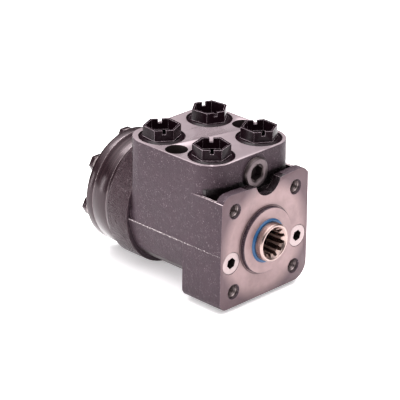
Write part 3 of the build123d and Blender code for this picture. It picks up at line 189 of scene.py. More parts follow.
class Wires:
    """Short calls for adding and joining nodes in one tree."""

    def __init__(self, tree):
        self.tree = tree

    def add(self, kind, **settings):
        node = self.tree.nodes.new(kind)
        for key, value in settings.items():
            setattr(node, key, value)
        return node

    def join(self, source, target):
        self.tree.links.new(source, target)

    def math(self, operation, a, b=0.0):
        node = self.add("ShaderNodeMath", operation=operation)
        for socket, value in zip(node.inputs, (a, b)):
            if isinstance(value, (int, float)):
                socket.default_value = value
            else:
                self.join(value, socket)
        return node.outputs[0]

    def noise(self, vector, scale, detail=2.0, roughness=0.5):
        node = self.add("ShaderNodeTexNoise")
        node.inputs["Detail"].default_value = detail
        node.inputs["Roughness"].default_value = roughness
        self.join(vector, node.inputs["Vector"])
        if isinstance(scale, (int, float)):
            node.inputs["Scale"].default_value = scale
        else:
            self.join(scale, node.inputs["Scale"])
        return node.outputs["Fac"]

    def remap(self, value, low, high, to_low=0.0, to_high=1.0):
        node = self.add("ShaderNodeMapRange", clamp=True)
        for label, number in (("From Min", low), ("From Max", high), ("To Min", to_low), ("To Max", to_high)):
            node.inputs[label].default_value = number
        self.join(value, node.inputs["Value"])
        return node.outputs["Result"]

    def blend(self, mask, first, second):
        node = self.add("ShaderNodeMix", data_type="RGBA")
        self.join(mask, node.inputs[0])
        for socket, value in ((node.inputs[6], first), (node.inputs[7], second)):
            if isinstance(value, tuple):
                socket.default_value = (*value, 1)
            else:
                self.join(value, socket)
        return node.outputs[2]

    def place(self):
        return self.add("ShaderNodeTexCoord").outputs["Object"]


# %% Cast skin: grain, blotches, and bright specks that are bare flecks and painted glints
cast_skin, skin_in, skin_out = node_group(
    "cast_skin", {"Grain per metre": 1000.0}, ["Height", "Blotches", "Flecks and glints"]
)
w = Wires(cast_skin)
spot = w.place()
grain = w.noise(spot, skin_in.outputs["Grain per metre"], detail=3.0, roughness=0.6)
swell = w.noise(spot, 160.0, detail=2.0)
relief = w.math("ADD", w.math("MULTIPLY", grain, 0.9), w.math("MULTIPLY", swell, 0.7))
w.join(relief, skin_out.inputs["Height"])
clouds = w.noise(spot, 60.0, detail=5.0, roughness=0.65)
w.join(w.remap(clouds, 0.32, 0.68), skin_out.inputs["Blotches"])
cells = w.add("ShaderNodeTexVoronoi")
cells.inputs["Scale"].default_value = 900.0
w.join(spot, cells.inputs["Vector"])
fleck = w.remap(cells.outputs["Distance"], 0.12, 0.3, 1.0, 0.0)
some = w.remap(w.noise(spot, 260.0, detail=1.0), 0.46, 0.56)
w.join(w.math("MULTIPLY", fleck, some), skin_out.inputs["Flecks and glints"])

# %% Edge wear: where a rounded normal leaves the true one, broken up by noise
edge_wear, wear_in, wear_out = node_group("edge_wear", {"Width": 0.0004, "Breakup": 0.35}, ["Worn"])
w = Wires(edge_wear)
rounded = w.add("ShaderNodeBevel", samples=6)
w.join(wear_in.outputs["Width"], rounded.inputs["Radius"])
facing = w.add("ShaderNodeVectorMath", operation="DOT_PRODUCT")
w.join(rounded.outputs["Normal"], facing.inputs[0])
w.join(w.add("ShaderNodeNewGeometry").outputs["Normal"], facing.inputs[1])
turned = w.remap(facing.outputs["Value"], 0.90, 0.995, 1.0, 0.0)
patches = w.remap(w.noise(w.place(), 700.0, detail=3.0), 0.35, 0.65)
kept = w.math("SUBTRACT", 1.0, w.math("MULTIPLY", wear_in.outputs["Breakup"], patches))
w.join(w.math("MULTIPLY", turned, kept), wear_out.inputs["Worn"])

# %% Lathe rings: noise that changes only with the distance from the main axis
lathe_rings, rings_in, rings_out = node_group(
    "lathe_rings", {"Rings per metre": 3500.0}, ["Height", "Radius"]
)
w = Wires(lathe_rings)
parts = w.add("ShaderNodeSeparateXYZ")
w.join(w.place(), parts.inputs[0])
x_squared = w.math("POWER", parts.outputs["X"], 2.0)
z_squared = w.math("POWER", parts.outputs["Z"], 2.0)
reach = w.math("SQRT", w.math("ADD", x_squared, z_squared))
along = w.add("ShaderNodeCombineXYZ")
w.join(reach, along.inputs["X"])
ripple = w.noise(along.outputs[0], rings_in.outputs["Rings per metre"], detail=2.0)
w.join(ripple, rings_out.inputs["Height"])
w.join(reach, rings_out.inputs["Radius"])

# %% Ground lines: noise stretched round the main axis
STRETCH = 0.004
ground_lines, lines_in, lines_out = node_group("ground_lines", {"Lines per metre": 6000.0}, ["Height"])
w = Wires(ground_lines)
parts = w.add("ShaderNodeSeparateXYZ")
w.join(w.place(), parts.inputs[0])
along = w.add("ShaderNodeCombineXYZ")
w.join(parts.outputs["Y"], along.inputs["X"])
w.join(w.math("MULTIPLY", parts.outputs["Z"], STRETCH), along.inputs["Y"])
scratches = w.noise(along.outputs[0], lines_in.outputs["Lines per metre"], detail=2.0)
w.join(scratches, lines_out.inputs["Height"])

# %% Painted pocket shade: near black laid in the pocket between the ears and the port block
SHADE_HALF, SHADE_FRONT, SHADE_REAR, SHADE_LEVEL = 0.0385, 0.0062, 0.0200, 0.0435
painted_pocket_shade, _, shade_out = node_group("painted_pocket_shade", {}, ["Oiled"])
w = Wires(painted_pocket_shade)
parts = w.add("ShaderNodeSeparateXYZ")
w.join(w.place(), parts.inputs[0])
inside = w.remap(w.math("ABSOLUTE", parts.outputs["X"]), SHADE_HALF, SHADE_HALF + 1.5 * MM, 1.0, 0.0)
behind = w.remap(parts.outputs["Y"], SHADE_FRONT, SHADE_FRONT + 0.3 * MM)
before = w.remap(parts.outputs["Y"], SHADE_REAR, SHADE_REAR + 2 * MM, 1.0, 0.0)
shade_edge_noise = w.math("MULTIPLY", w.noise(w.place(), 300.0, detail=3.0), 4 * MM)
ragged = w.math("ADD", parts.outputs["Z"], shade_edge_noise)
under = w.remap(ragged, SHADE_LEVEL, SHADE_LEVEL + 1.5 * MM, 1.0, 0.0)
sides = w.math("MULTIPLY", inside, w.math("MULTIPLY", behind, before))
w.join(w.math("MULTIPLY", sides, under), shade_out.inputs["Oiled"])

# %% [markdown]
# ## The finishes
# Each finish starts from one small function that makes a material with its Principled shader and its
# worn edges. Two more lay a second colour over the first and add a bump. Uniform values go straight
# onto the shader. Only colours, roughness and the bump height come from nodes.

# %% Helpers that make a finish
SPECULAR_LEVEL = 0.38


def finish(name, colour, rough, metal=0.0, coat=0.0, coat_rough=0.12, worn=None, wear_width=0.4 * MM):
    """Makes a material and returns it with its wires and its shader, for a finish to build on."""
    material = bpy.data.materials.new(name)
    material.use_nodes = True
    material.diffuse_color = (*colour, 1)
    wires = Wires(material.node_tree)
    shader = material.node_tree.nodes["Principled BSDF"]
    shader.inputs["Base Color"].default_value = (*colour, 1)
    shader.inputs["Roughness"].default_value = rough
    shader.inputs["Metallic"].default_value = metal
    shader.inputs["Coat Weight"].default_value = coat
    shader.inputs["Specular IOR Level"].default_value = SPECULAR_LEVEL
    shader.inputs["Coat Roughness"].default_value = coat_rough
    if worn:
        wear = wires.add("ShaderNodeGroup", node_tree=edge_wear)
        wear.inputs["Width"].default_value = wear_width
        wires.join(wires.blend(wear.outputs["Worn"], colour, worn), shader.inputs["Base Color"])
    print("finish:", name)
    return material, wires, shader


def recolour(wires, shader, mask, colour):
    """Lays a colour over what already feeds the shader, where the mask says."""
    socket = shader.inputs["Base Color"]
    below = socket.links[0].from_socket if socket.links else tuple(socket.default_value)[:3]
    wires.join(wires.blend(mask, below, colour), socket)


def bump(wires, shader, height, depth):
    """Turns a height into a bump of the given depth in metres."""
    node = wires.add("ShaderNodeBump")
    node.inputs["Strength"].default_value = 1.0
    node.inputs["Distance"].default_value = depth
    wires.join(height, node.inputs["Height"])
    wires.join(node.outputs["Normal"], shader.inputs["Normal"])


# %% [markdown]
# ## Phosphated cast iron
# The casting is dipped in a dark phosphate bath, which leaves the sand's grain, paler clouds and bare
# flecks to see, and the flecks stand for painted glints too. One even dark colour would look like plastic,
# so blotches, flecks and a near black painted shade in the pocket are laid over it in that order, and the
# grain becomes a bump.

# %% Phosphated cast iron, for the housing's outside
cast_iron, w, shader = finish(
    "phosphated_casting", (0.047, 0.030, 0.039), 0.48, metal=0.25, worn=(0.30, 0.24, 0.26)
)
skin_group = w.add("ShaderNodeGroup", node_tree=cast_skin)
recolour(w, shader, w.math("MULTIPLY", skin_group.outputs["Blotches"], 0.5), (0.076, 0.050, 0.062))
# Pale flecks, which also stand for painted glints on the rough skin.
recolour(w, shader, w.math("MULTIPLY", skin_group.outputs["Flecks and glints"], 0.4), (0.46, 0.38, 0.41))
# Painted shade: near black on the casting inside the pocket, which is also made a little glossier.
pocket_shade_node = w.add("ShaderNodeGroup", node_tree=painted_pocket_shade)
recolour(w, shader, pocket_shade_node.outputs["Oiled"], (0.008, 0.005, 0.006))
dry = w.remap(skin_group.outputs["Blotches"], 0.0, 1.0, 0.44, 0.56)
w.join(w.math("SUBTRACT", dry, w.math("MULTIPLY", pocket_shade_node.outputs["Oiled"], 0.2)), shader.inputs["Roughness"])
bump(w, shader, skin_group.outputs["Height"], 0.0006)

# %% [markdown]
# ## Machined faces
# A turning tool has cleaned the middle of the flange face, and its corners stay dull. The port face is
# milled so fine that it mirrors the plugs. A mask on the distance from the main axis tells bright from
# dull, and noise that is squeezed along one axis leaves the mill's marks.

# %% Turned flange face: bright inside the circle that the tool reached, dull in the corners
BRIGHT_R, DULL_R, BOSS_STEP_R = 0.034, 0.043, 0.0240
flange_metal, w, shader = finish(
    "turned_flange_face", (0.115, 0.078, 0.088), 0.40, metal=0.4, worn=(0.36, 0.28, 0.29)
)
rings = w.add("ShaderNodeGroup", node_tree=lathe_rings)
skin_group = w.add("ShaderNodeGroup", node_tree=cast_skin)
turned_zone = w.remap(rings.outputs["Radius"], BRIGHT_R, DULL_R, 1.0, 0.0)
recolour(w, shader, turned_zone, (0.34, 0.245, 0.245))
recolour(w, shader, w.math("MULTIPLY", skin_group.outputs["Blotches"], 0.5), (0.160, 0.112, 0.118))
# A thin dark ring at the foot of the boss is painted shade in that corner.
off_step = w.math("ABSOLUTE", w.math("SUBTRACT", rings.outputs["Radius"], BOSS_STEP_R))
recolour(w, shader, w.remap(off_step, 0.0002, 0.0006, 0.6, 0.0), (0.020, 0.012, 0.013))
tool_marks = w.math("MULTIPLY", rings.outputs["Height"], 0.5)
cast_grain = w.math("MULTIPLY", skin_group.outputs["Height"], 0.4)
bump(w, shader, w.math("ADD", tool_marks, cast_grain), 0.00006)

# %% Milled port face: pale, smooth enough to mirror the plugs
port_metal, w, shader = finish(
    "milled_port_face", (0.52, 0.43, 0.46), 0.14, metal=0.6, worn=(0.7, 0.62, 0.63)
)
skin_group = w.add("ShaderNodeGroup", node_tree=cast_skin)
recolour(w, shader, w.math("MULTIPLY", skin_group.outputs["Blotches"], 0.4), (0.38, 0.31, 0.33))
stretched = w.add("ShaderNodeMapping")
stretched.inputs["Scale"].default_value = (2600, 60, 60)
w.join(w.place(), stretched.inputs["Vector"])
bump(w, shader, w.noise(stretched.outputs[0], 1.0), 0.00002)

# %% Oiled bores
bore_metal, w, shader = finish("oiled_bore", (0.07, 0.055, 0.055), 0.35, metal=0.7)
bump(w, shader, w.noise(w.place(), 900.0), 0.00005)

# %% [markdown]
# ## Painted pocket shade, oiled iron and highlit ledges
# The rough pocket behind the ears is painted near black as its shade, and oil stays on the rear flange.
# Where a grinder can't reach, the grain is coarse, so the pocket asks the cast skin for fewer grains per
# metre. It also gets a coat, which shines like a film of oil. A coat would mirror the lights on the rear
# flange, so that one gets a low roughness and the deepest bump instead. The ledges beside the pocket are
# painted pale, partly as metal rubbed bare and partly as a painted highlight.

# %% Painted shade: the near black pocket and scallop behind the ears
pocket_shade_metal, w, shader = finish(
    "painted_shade_pocket", (0.012, 0.007, 0.009), 0.22, coat=0.6, worn=(0.36, 0.30, 0.31)
)
skin_group = w.add("ShaderNodeGroup", node_tree=cast_skin)
skin_group.inputs["Grain per metre"].default_value = 700.0
bump(w, shader, skin_group.outputs["Height"], 0.0005)

# %% The rear flange, wet with oil
oily_metal, w, shader = finish(
    "oily_casting", (0.040, 0.022, 0.028), 0.17, metal=0.6, worn=(0.42, 0.34, 0.36)
)
skin_group = w.add("ShaderNodeGroup", node_tree=cast_skin)
skin_group.inputs["Grain per metre"].default_value = 1100.0
# Pale specks here are painted glints as well as bare flecks.
recolour(w, shader, w.math("MULTIPLY", skin_group.outputs["Flecks and glints"], 0.4), (0.50, 0.43, 0.45))
bump(w, shader, skin_group.outputs["Height"], 0.0016)

# %% Ledges painted pale: metal rubbed bare and a painted highlight
rubbed_highlight_metal, w, shader = finish("rubbed_highlight_ledge", (0.62, 0.53, 0.55), 0.42, metal=0.5)
remnants = w.remap(w.noise(w.place(), 900.0, detail=3.0), 0.5, 0.62)
recolour(w, shader, remnants, (0.12, 0.085, 0.095))
bump(w, shader, w.noise(w.place(), 1500.0, detail=3.0), 0.0003)

# %% Bright cut metal of the thread ridges, and the broken fin along the parting line
thread_metal, w, shader = finish("cut_thread", (0.30, 0.25, 0.25), 0.33, metal=0.8)
bump(w, shader, w.noise(w.place(), 1200.0), 0.00003)
fin_metal, w, shader = finish("broken_fin", (0.16, 0.135, 0.14), 0.42, metal=0.4)
sparkle = w.remap(w.noise(w.place(), 900.0, detail=3.0), 0.52, 0.62)
recolour(w, shader, sparkle, (0.62, 0.56, 0.56))
bump(w, shader, w.noise(w.place(), 2200.0, detail=3.0), 0.00015)

# %% [markdown]
# ## Steel
# Steel pieces differ mostly in how they were last worked. Ground pieces have fine lines round their
# axis, which stretched noise draws, and the lines also change the roughness, so that a highlight runs
# along them. Plated and browned pieces have a finer, even grain.

# %% Blackened steel of the gear stack, with a thin oily gloss
stack_metal, w, shader = finish(
    "blackened_steel", (0.028, 0.014, 0.018), 0.26, metal=0.45, coat=0.35, coat_rough=0.18,
    worn=(0.62, 0.52, 0.54),
)
lines = w.add("ShaderNodeGroup", node_tree=ground_lines)
lines.inputs["Lines per metre"].default_value = 2500.0
recolour(w, shader, w.remap(lines.outputs["Height"], 0.56, 0.74), (0.075, 0.045, 0.052))
w.join(w.remap(lines.outputs["Height"], 0.3, 0.7, 0.20, 0.30), shader.inputs["Roughness"])
rings = w.add("ShaderNodeGroup", node_tree=lathe_rings)
bump(w, shader, w.math("ADD", lines.outputs["Height"], rings.outputs["Height"]), 0.00001)

# %% Ground steel of the sleeve, the rotor and other running pieces
ground_steel, w, shader = finish("ground_steel", (0.56, 0.51, 0.50), 0.24, metal=1.0, worn=(0.85, 0.8, 0.78))
lines = w.add("ShaderNodeGroup", node_tree=ground_lines)
bump(w, shader, lines.outputs["Height"], 0.00001)
w.join(w.remap(lines.outputs["Height"], 0.3, 0.7, 0.18, 0.32), shader.inputs["Roughness"])

# %% Zinc-plated steel of the flush socket plugs
zinc_steel, w, shader = finish(
    "zinc_plated_steel", (0.38, 0.31, 0.31), 0.36, metal=0.9, worn=(0.75, 0.68, 0.67)
)
w.join(w.remap(w.noise(w.place(), 1800.0, detail=4.0), 0.3, 0.7, 0.30, 0.46), shader.inputs["Roughness"])
bump(w, shader, w.noise(w.place(), 2400.0), 0.00001)

# %% Dull grey steel of the washers, the valve seats and the cardan shaft
dull_steel, w, shader = finish("dull_steel", (0.25, 0.215, 0.215), 0.38, metal=0.8, worn=(0.55, 0.5, 0.49))
stains = w.remap(w.noise(w.place(), 400.0, detail=4.0), 0.45, 0.7, 0.0, 0.5)
recolour(w, shader, stains, (0.17, 0.14, 0.14))
bump(w, shader, w.noise(w.place(), 1500.0), 0.00002)

# %% Darker steel of the relief plug, and the brownish steel of the input shaft's end
relief_metal, w, shader = finish(
    "browned_steel", (0.13, 0.105, 0.11), 0.34, metal=0.8, worn=(0.42, 0.37, 0.37)
)
w.join(w.remap(w.noise(w.place(), 700.0, detail=3.0), 0.3, 0.7, 0.28, 0.42), shader.inputs["Roughness"])
bump(w, shader, w.noise(w.place(), 1300.0), 0.00003)
shaft_metal, w, shader = finish(
    "hardened_shaft", (0.40, 0.305, 0.285), 0.27, metal=1.0, worn=(0.82, 0.74, 0.70)
)
lines = w.add("ShaderNodeGroup", node_tree=ground_lines)
bump(w, shader, lines.outputs["Height"], 0.00001)
w.join(w.remap(lines.outputs["Height"], 0.3, 0.7, 0.22, 0.36), shader.inputs["Roughness"])

# %% Matt steel between the broached teeth
spline_metal, w, shader = finish(
    "broached_spline", (0.42, 0.31, 0.275), 0.42, metal=0.65, worn=(0.8, 0.7, 0.66)
)
bump(w, shader, w.noise(w.place(), 1400.0), 0.00003)

# %% Spring steel
spring_steel, w, shader = finish("spring_steel", (0.42, 0.40, 0.42), 0.28, metal=1.0)
bump(w, shader, w.noise(w.place(), 3000.0), 0.00001)

# %% [markdown]
# ## Rubber and plastic
# Neither is a metal, so the metallic value stays at zero and only the roughness sets the shine. The
# moulded plugs are nearly black, with a haze of dust on them and pale, scuffed edges.

# %% Blue dust seal, black rubber and the moulded plastic of the transport plugs
PLUG_SPECULAR_LEVEL = 0.16
blue_seal, w, shader = finish("blue_seal", (0.014, 0.080, 0.19), 0.38, coat=0.2)
bump(w, shader, w.noise(w.place(), 1500.0), 0.00003)
black_rubber, w, shader = finish("black_rubber", (0.02, 0.02, 0.02), 0.6)
bump(w, shader, w.noise(w.place(), 2500.0), 0.00003)
plug_plastic, w, shader = finish(
    "moulded_plastic", (0.011, 0.004, 0.007), 0.26, worn=(0.54, 0.45, 0.49), wear_width=0.5 * MM
)
shader.inputs["Specular IOR Level"].default_value = PLUG_SPECULAR_LEVEL
haze = w.remap(w.noise(w.place(), 500.0, detail=4.0), 0.55, 0.75, 0.0, 0.2)
recolour(w, shader, haze, (0.04, 0.03, 0.035))
w.join(w.remap(w.noise(w.place(), 900.0, detail=3.0), 0.3, 0.7, 0.14, 0.3), shader.inputs["Roughness"])
bump(w, shader, w.noise(w.place(), 1200.0), 0.00004)

# %% [markdown]
# ## Dressing a solid
# A solid arrives as loose triangles. A copy of it is merged, its flat triangles are joined into whole
# faces, the edges that should catch light are bevelled, and every edge that is still steep is marked
# sharp so that round walls shade smoothly. The copy stands for the solid and rides on its body.

# %% Helpers that dress a solid
CREASE, FLAT = radians(28), radians(0.2)
MERGE_DISTANCE = 0.000002


def set_creases(bm):
    """Smooth shading, apart from the edges that turn by more than the crease angle."""
    for face in bm.faces:
        face.smooth = True
    for edge in bm.edges:
        edge.smooth = len(edge.link_faces) == 2 and edge.calc_face_angle(0.0) < CREASE


def merged_copy(node):
    """A bmesh of a solid with its triangles merged and its flat faces whole."""
    bm = bmesh.new()
    bm.from_mesh(frame["nodes"][node].data)
    for layer in list(bm.loops.layers.float_vector):
        bm.loops.layers.float_vector.remove(layer)
    bmesh.ops.remove_doubles(bm, verts=bm.verts, dist=MERGE_DISTANCE)
    bmesh.ops.dissolve_limit(bm, angle_limit=FLAT, verts=bm.verts, edges=bm.edges)
    return bm


def round_edges(bm, chosen, width, segments):
    """Bevels the steep edges that the test picks by their middle point. All lengths are millimetres."""
    picked = [
        edge for edge in bm.edges
        if len(edge.link_faces) == 2 and edge.calc_face_angle(0.0) > CREASE
        and chosen((edge.verts[0].co + edge.verts[1].co) / 2 / MM)
    ]
    bmesh.ops.bevel(
        bm, geom=picked, offset=width * MM, offset_type="OFFSET", segments=segments, profile=0.5,
        affect="EDGES", material=-1, clamp_overlap=True, loop_slide=True,
    )
    return len(picked)


def settle(name, bm, body, materials, stands_for=()):
    """Makes the bmesh a finished piece that rides on its body."""
    set_creases(bm)
    mesh = bpy.data.meshes.new(name)
    bm.to_mesh(mesh)
    bm.free()
    for material in materials:
        mesh.materials.append(material)
    piece = bpy.data.objects.new(name, mesh)
    bpy.context.collection.objects.link(piece)
    if stands_for:
        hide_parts(*stands_for)
    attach(piece, body)
    return piece


def dress(node, *materials, rounds=(), paint=None):
    """Replaces a solid by its merged copy, with bevels, and with a material for each face."""
    bm = merged_copy(node)
    count = sum(round_edges(bm, *one) for one in rounds)
    if paint:
        for face in bm.faces:
            face.material_index = paint(face.calc_center_median() / MM, face.normal)
    piece = settle(f"{node}_dressed", bm, body_of[node], materials, (node,))
    print(node, "faces:", len(piece.data.polygons), "edges bevelled:", count)
    return piece


# %% [markdown]
# ## The housing
# One sand casting carries everything. Its outside keeps the cast skin under a dark phosphate coat. The
# port face is milled, the flange face is turned, and every hole is drilled through the coat, so the
# faces are sorted by where they lie and which way they look.

# %% Sort the housing's faces
BOLT_CIRCLE_R, FLANK_HALF = 41.275, 42.0
BOLT_OFFSET = BOLT_CIRCLE_R * sin(pi / 4)
BOLT_HOLE_R, SIDE_MOUTH_R = 4.6, 7.9
SIDE_HOLE_X, SIDE_HOLE_Y = 32.0, 51.8
PORT_X, PORT_MIDDLE_Y, PORT_HALF_Y, PORT_CLEAR_R = 23, 52.8, 24.5, 17
SCALLOP_HALF, SCALLOP_FOOT, POCKET_HALF, POCKET_REAR = 20, 25, 39.3, 20
EAR_REAR, FOOT_REAR, LEDGE_LEVEL, LEDGE_REAR = 6.5, 36, 37.0, 28.5
REAR_FLANGE_START, REAR_FLANGE_END, REAR_FLANGE_R = 86.6, 105.9, 38
CASTING, PORT_FACE, FLANGE_FACE, BORE, POCKET, OILY, RUBBED_HIGHLIGHT = range(7)
port_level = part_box("housing")[1].z / MM
print("port face at z =", round(port_level, 1), "mm")


def in_scallop(x, y, z):
    return 0.1 < y < EAR_REAR + 0.2 and z > SCALLOP_FOOT and abs(x) < SCALLOP_HALF


def on_ledge(x, y, z):
    return EAR_REAR - 0.2 < y < LEDGE_REAR and abs(z - LEDGE_LEVEL) < 0.6 and abs(x) > POCKET_HALF - 0.8


def in_pocket(x, y, z):
    return EAR_REAR - 0.2 < y < POCKET_REAR and abs(z - LEDGE_LEVEL) < 5 and abs(x) < POCKET_HALF


def in_bolt_hole(x, y, z):
    return y > 0.5 and hypot(abs(x) - BOLT_OFFSET, abs(z) - BOLT_OFFSET) < BOLT_HOLE_R


def in_side_hole(x, y, z):
    return 30 < z < port_level - 0.5 and hypot(abs(x) - SIDE_HOLE_X, y - SIDE_HOLE_Y) < SIDE_MOUTH_R


def housing_paint(middle, normal):
    """Which finish a face of the housing takes."""
    if normal.z > 0.99 and middle.z > port_level - 2.5:
        return PORT_FACE
    if normal.y < -0.99 and -3.5 < middle.y < 0.5:
        return FLANGE_FACE
    # The scallop and the pocket take the near black painted shade, and the ledges a pale painted highlight.
    if in_scallop(*middle) and normal.z > -0.5 and hypot(normal.x, normal.z) > 0.5:
        return POCKET
    if on_ledge(*middle) and normal.z > 0.3:
        return RUBBED_HIGHLIGHT
    if in_pocket(*middle) and normal.y > -0.7:
        return POCKET
    if middle.y > REAR_FLANGE_START and hypot(middle.x, middle.z) > REAR_FLANGE_R:
        return OILY
    if in_bolt_hole(*middle) or in_side_hole(*middle):
        return BORE
    return CASTING


# %% [markdown]
# ## The housing's edges
# A sand casting has no sharp edges, and machined edges are broken with a file. A bevel over every edge
# would also round the bores and the seal grooves, so each rule below picks one run of edges by where
# their middle lies, and each run gets its own width.

# %% Pick the edges and dress the housing
def flange_outline(m):
    return abs(m.y) < 0.3 and max(abs(m.x), abs(m.z)) > 37.5 and hypot(m.x, m.z) > 39


def foot_rear(m):
    return abs(m.y - FOOT_REAR) < 0.3 and m.z < -2 and hypot(m.x, m.z) > 42.5


def block_rim(m):
    off_port = hypot(abs(m.x) - PORT_X, abs(m.y - PORT_MIDDLE_Y) - PORT_HALF_Y) > PORT_CLEAR_R
    near_side = abs(m.x) > 39.5 or m.y < 11.5 or m.y > 94
    return m.z > port_level - 0.3 and (near_side or off_port)


def ledge_edge(m):
    return abs(m.z - LEDGE_LEVEL) < 0.5 and abs(m.x) > 41 and m.y > 6.6


def ear_rear(m):
    return abs(m.y - EAR_REAR) < 0.2 and m.z > 37.5


def rear_flange_rims(m):
    return hypot(m.x, m.z) > 43 and (m.y > REAR_FLANGE_END or 86.8 < m.y < 87.2)


dress(
    "housing", cast_iron, port_metal, flange_metal, bore_metal, pocket_shade_metal, oily_metal, rubbed_highlight_metal,
    paint=housing_paint,
    rounds=(
        (flange_outline, 0.5, 2), (foot_rear, 1.2, 3), (block_rim, 0.25, 2), (ledge_edge, 0.7, 2),
        (ear_rear, 0.6, 2), (rear_flange_rims, 0.5, 2),
    ),
)

# %% [markdown]
# ## Threads in the fastening holes
# The solids have plain holes with the core diameter of an M10 thread. A tap leaves one long helical
# ridge, which is what a spin with a small step along the axis makes. The ridges stand on the plain
# wall, so they reach a little further in than real ones do. Only the first turns can be seen.

# %% Cut the threads
TAP_CORE_R, RIDGE, THREAD_PITCH, TURN_STEPS = 4.25, 0.42, 1.5, 28
RIDGE_SINK, RIDGE_FOOT = 0.05, 0.92
FLANGE_THREAD_START, SIDE_SHELF = 1.3, 9.2
FLANGE_TURNS, SIDE_TURNS = 7, 6


def thread(bm, mouth, inward, turns):
    """Adds one helical ridge that starts at the mouth, in millimetres, and runs inward."""
    across = inward.orthogonal().normalized()
    foot = mouth + (TAP_CORE_R + RIDGE_SINK) * across
    tip = mouth + (TAP_CORE_R - RIDGE) * across + THREAD_PITCH / 2 * inward
    points = [foot, tip, foot + THREAD_PITCH * RIDGE_FOOT * inward]
    ring = [bmesh.ops.create_vert(bm, co=p * MM)["vert"][0] for p in points]
    edges = [bm.edges.new(pair) for pair in zip(ring, ring[1:])]
    bmesh.ops.spin(
        bm, geom=ring + edges, cent=mouth * MM, axis=inward, dvec=inward * THREAD_PITCH / TURN_STEPS * MM,
        angle=2 * pi * turns, steps=turns * TURN_STEPS, use_duplicate=False,
    )


bm = bmesh.new()
for side in (-1, 1):
    for level in (-1, 1):
        corner = Vector((side * BOLT_OFFSET, FLANGE_THREAD_START, level * BOLT_OFFSET))
        thread(bm, corner, Y, FLANGE_TURNS)
    shelf = Vector((side * SIDE_HOLE_X, SIDE_HOLE_Y, port_level - SIDE_SHELF))
    thread(bm, shelf, -Z, SIDE_TURNS)
bmesh.ops.recalc_face_normals(bm, faces=bm.faces)
threads = settle("tapped_threads", bm, body_of["housing"], [thread_metal])
print("thread faces:", len(threads.data.polygons))

# %% [markdown]
# ## The parting line
# The two halves of the sand mould meet on the level of the main axis. Metal creeps into the joint and
# leaves a thin, broken fin along both sides, which the fettler only knocks off roughly. A flat strip
# lies on each side, and noise pushes its middle row outwards.

# %% Raise the fin
FIN_FRONT, FIN_REAR, FIN_LEVEL, FIN_HALF, FIN_HIGH = 0.8, 86.4, -0.5, 0.45, 0.32
FIN_STEPS, FIN_SINK, FIN_WANDER = 240, 0.06, 0.5
bm = bmesh.new()
for side in (-1, 1):
    strip = bmesh.ops.create_grid(bm, x_segments=FIN_STEPS, y_segments=2, size=0.5)["verts"]
    for vert in strip:
        along, across = vert.co.x + 0.5, vert.co.y * 2
        y = FIN_FRONT + (FIN_REAR - FIN_FRONT) * along
        wander = noise.noise(Vector((y * 0.35, side * 7, 0))) * FIN_WANDER
        rise = max(0.0, 0.35 + noise.noise(Vector((y * 1.3, side * 3, 5)))) * FIN_HIGH
        x = side * (FLANK_HALF - FIN_SINK + (rise if abs(across) < 0.5 else 0.0))
        vert.co = Vector((x, y, FIN_LEVEL + wander + across * FIN_HALF)) * MM
bmesh.ops.recalc_face_normals(bm, faces=bm.faces)
fin = settle("parting_fin", bm, body_of["housing"], [fin_metal])
print("fin faces:", len(fin.data.polygons))

# %% [markdown]
# ## The gear stack
# The distributor plate, the gear ring and the end cover are turned discs held by seven screws. A sharp
# rim would catch no light, so each rim is rounded a little and shows as a thin bright line between the
# dark, glossy bands.

# %% Dress the stack
RIM_START, HEADS_START = 40.0, 131.0


def at_rim(m):
    return hypot(m.x, m.z) > RIM_START


for node in ("distributor_plate", "gear_ring", "end_cover"):
    dress(node, stack_metal, rounds=((at_rim, 0.3, 2),))
for node in ("cover_screws", "rolled_pin_screw"):
    dress(node, stack_metal, rounds=((lambda m: m.y > HEADS_START, 0.25, 2),))
dress("screw_washers", dull_steel, rounds=((lambda m: True, 0.15, 1),))

# %% [markdown]
# ## The transport plugs
# Four moulded plugs close the ports. Each is a hollow hexagon with a slot across it, on a coned
# flange. Thin moulded edges wear pale, so the edges that stand above the port face are rounded by
# 0.3 mm, which the wear effect can find.

# %% Dress the plugs
PLUG_SEAT_DEPTH = 1.6
for port in ("front_left", "front_right", "rear_left", "rear_right"):
    plug_edges = (lambda m: m.z > port_level - PLUG_SEAT_DEPTH, 0.3, 2)
    dress(f"port_plug_{port}", plug_plastic, rounds=(plug_edges,))

# %% [markdown]
# ## Valves seen from the front
# The relief valve hides behind a large dark socket plug in the front of the port block. Two flush
# zinc-plated plugs in the flange face close the shock valves. Only their front rims and key sockets
# can be seen, so the rims catch light and everything behind them takes the dark finish of a bore.

# %% Dress the valve plugs
RIM_DEPTH, SOCKET_START = 0.4, 0.6


def front_face(node, metal, width):
    """Dresses a plug, with its front rim bevelled and its key socket left dark."""
    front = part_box(node)[0].y / MM
    dress(
        node, metal, bore_metal, rounds=((lambda m: m.y < front + RIM_DEPTH, width, 2),),
        paint=lambda middle, normal: int(middle.y > front + SOCKET_START),
    )


front_face("relief_plug", relief_metal, 0.25)
front_face("shock_plugs", zinc_steel, 0.2)
dress("relief_plug_washer", dull_steel)

# %% [markdown]
# ## The input shaft
# The spool's end stands 9.3 mm proud of the flange, ground bright, with a twelve-tooth socket for the
# steering column. The broached teeth are duller than the ground outside, so faces near the axis take
# a second finish. The blue lip round the shaft keeps dust out.

# %% Dress the shaft end
SPLINE_REACH, SHAFT_END, LIP_END = 9.6, -5.0, -1.0
dress(
    "spool", shaft_metal, spline_metal, rounds=((lambda m: m.y < SHAFT_END, 0.12, 2),),
    paint=lambda middle, normal: int(hypot(middle.x, middle.z) < SPLINE_REACH and normal.y > -0.9),
)
dress("dust_seal", blue_seal, rounds=((lambda m: m.y < LIP_END, 0.15, 2),))

# %% [markdown]
# ## Pieces inside
# Nothing else shows while the unit is closed, but each inner piece keeps the finish that it has on
# the bench, so the model can be opened or taken apart.

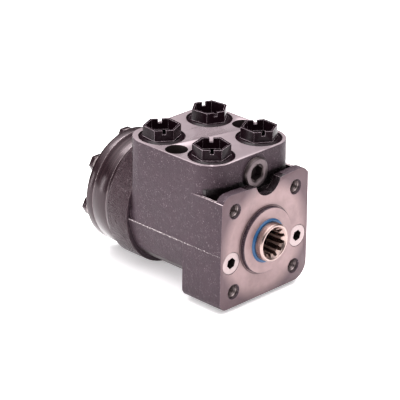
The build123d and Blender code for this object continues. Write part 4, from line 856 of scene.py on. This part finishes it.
# %% Give the inner pieces their finishes
inner_finish = {
    black_rubber: ["shaft_seal", "housing_seal_ring", "plate_seal_ring", "cover_seal_ring",
                   "shock_plug_seals"],
    ground_steel: ["outer_bearing_race", "inner_bearing_race", "thrust_needles", "thrust_cage", "sleeve",
                   "cross_pin", "rotor", "emergency_ball", "suction_ball_left", "suction_ball_right",
                   "check_ball", "relief_poppet", "shock_ball_left", "shock_ball_right"],
    dull_steel: ["cardan_shaft", "cardan_spacer", "check_bush", "relief_adjuster", "relief_seat",
                 "shock_seats"],
    spring_steel: ["spring_ring", "flat_centring_springs", "arched_centring_springs", "rolled_pin",
                   "suction_pins", "relief_spring", "shock_spring_left", "shock_spring_right"],
}
dressed = {node: dress(node, material) for material, names in inner_finish.items() for node in names}

# %% [markdown]
# ## The valve springs
# Three coil springs hold a poppet or a ball on its seat. When that piece lifts, its spring shortens
# by as much towards its fixed front end. Here each dressed coil only gets a mesh of its own.

# %% Give each coil its own mesh
for node, joint in (
    ("relief_spring", "relief_poppet_lift"),
    ("shock_spring_left", "shock_ball_left_lift"),
    ("shock_spring_right", "shock_ball_right_lift"),
):
    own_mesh(dressed[node])

# %% [markdown]
# ## Floor
# A large pale plane lies under the lowest point of the unit and runs far past the picture's edges. It
# glows a little, like a photographer's light table, so the shadow under the unit stays a light haze.

# %% Lay the floor
FLOOR_HALF, TABLE_GLOW = 6.0, 0.32
floor_metal, w, shader = finish("pale_floor", (0.92, 0.91, 0.915), 0.55)
w.join(w.remap(w.noise(w.place(), 3.0), 0.3, 0.7, 0.5, 0.6), shader.inputs["Roughness"])
shader.inputs["Emission Color"].default_value = (1, 0.985, 0.995, 1)
shader.inputs["Emission Strength"].default_value = TABLE_GLOW
bm = bmesh.new()
bmesh.ops.create_grid(bm, x_segments=1, y_segments=1, size=FLOOR_HALF)
bmesh.ops.translate(bm, verts=bm.verts, vec=Z * solid_box[0][2])
mesh = bpy.data.meshes.new("floor")
bm.to_mesh(mesh)
bm.free()
mesh.materials.append(floor_metal)
floor = bpy.data.objects.new("floor", mesh)
bpy.context.collection.objects.link(floor)
print("floor at z =", round(solid_box[0][2] / MM, 1), "mm")
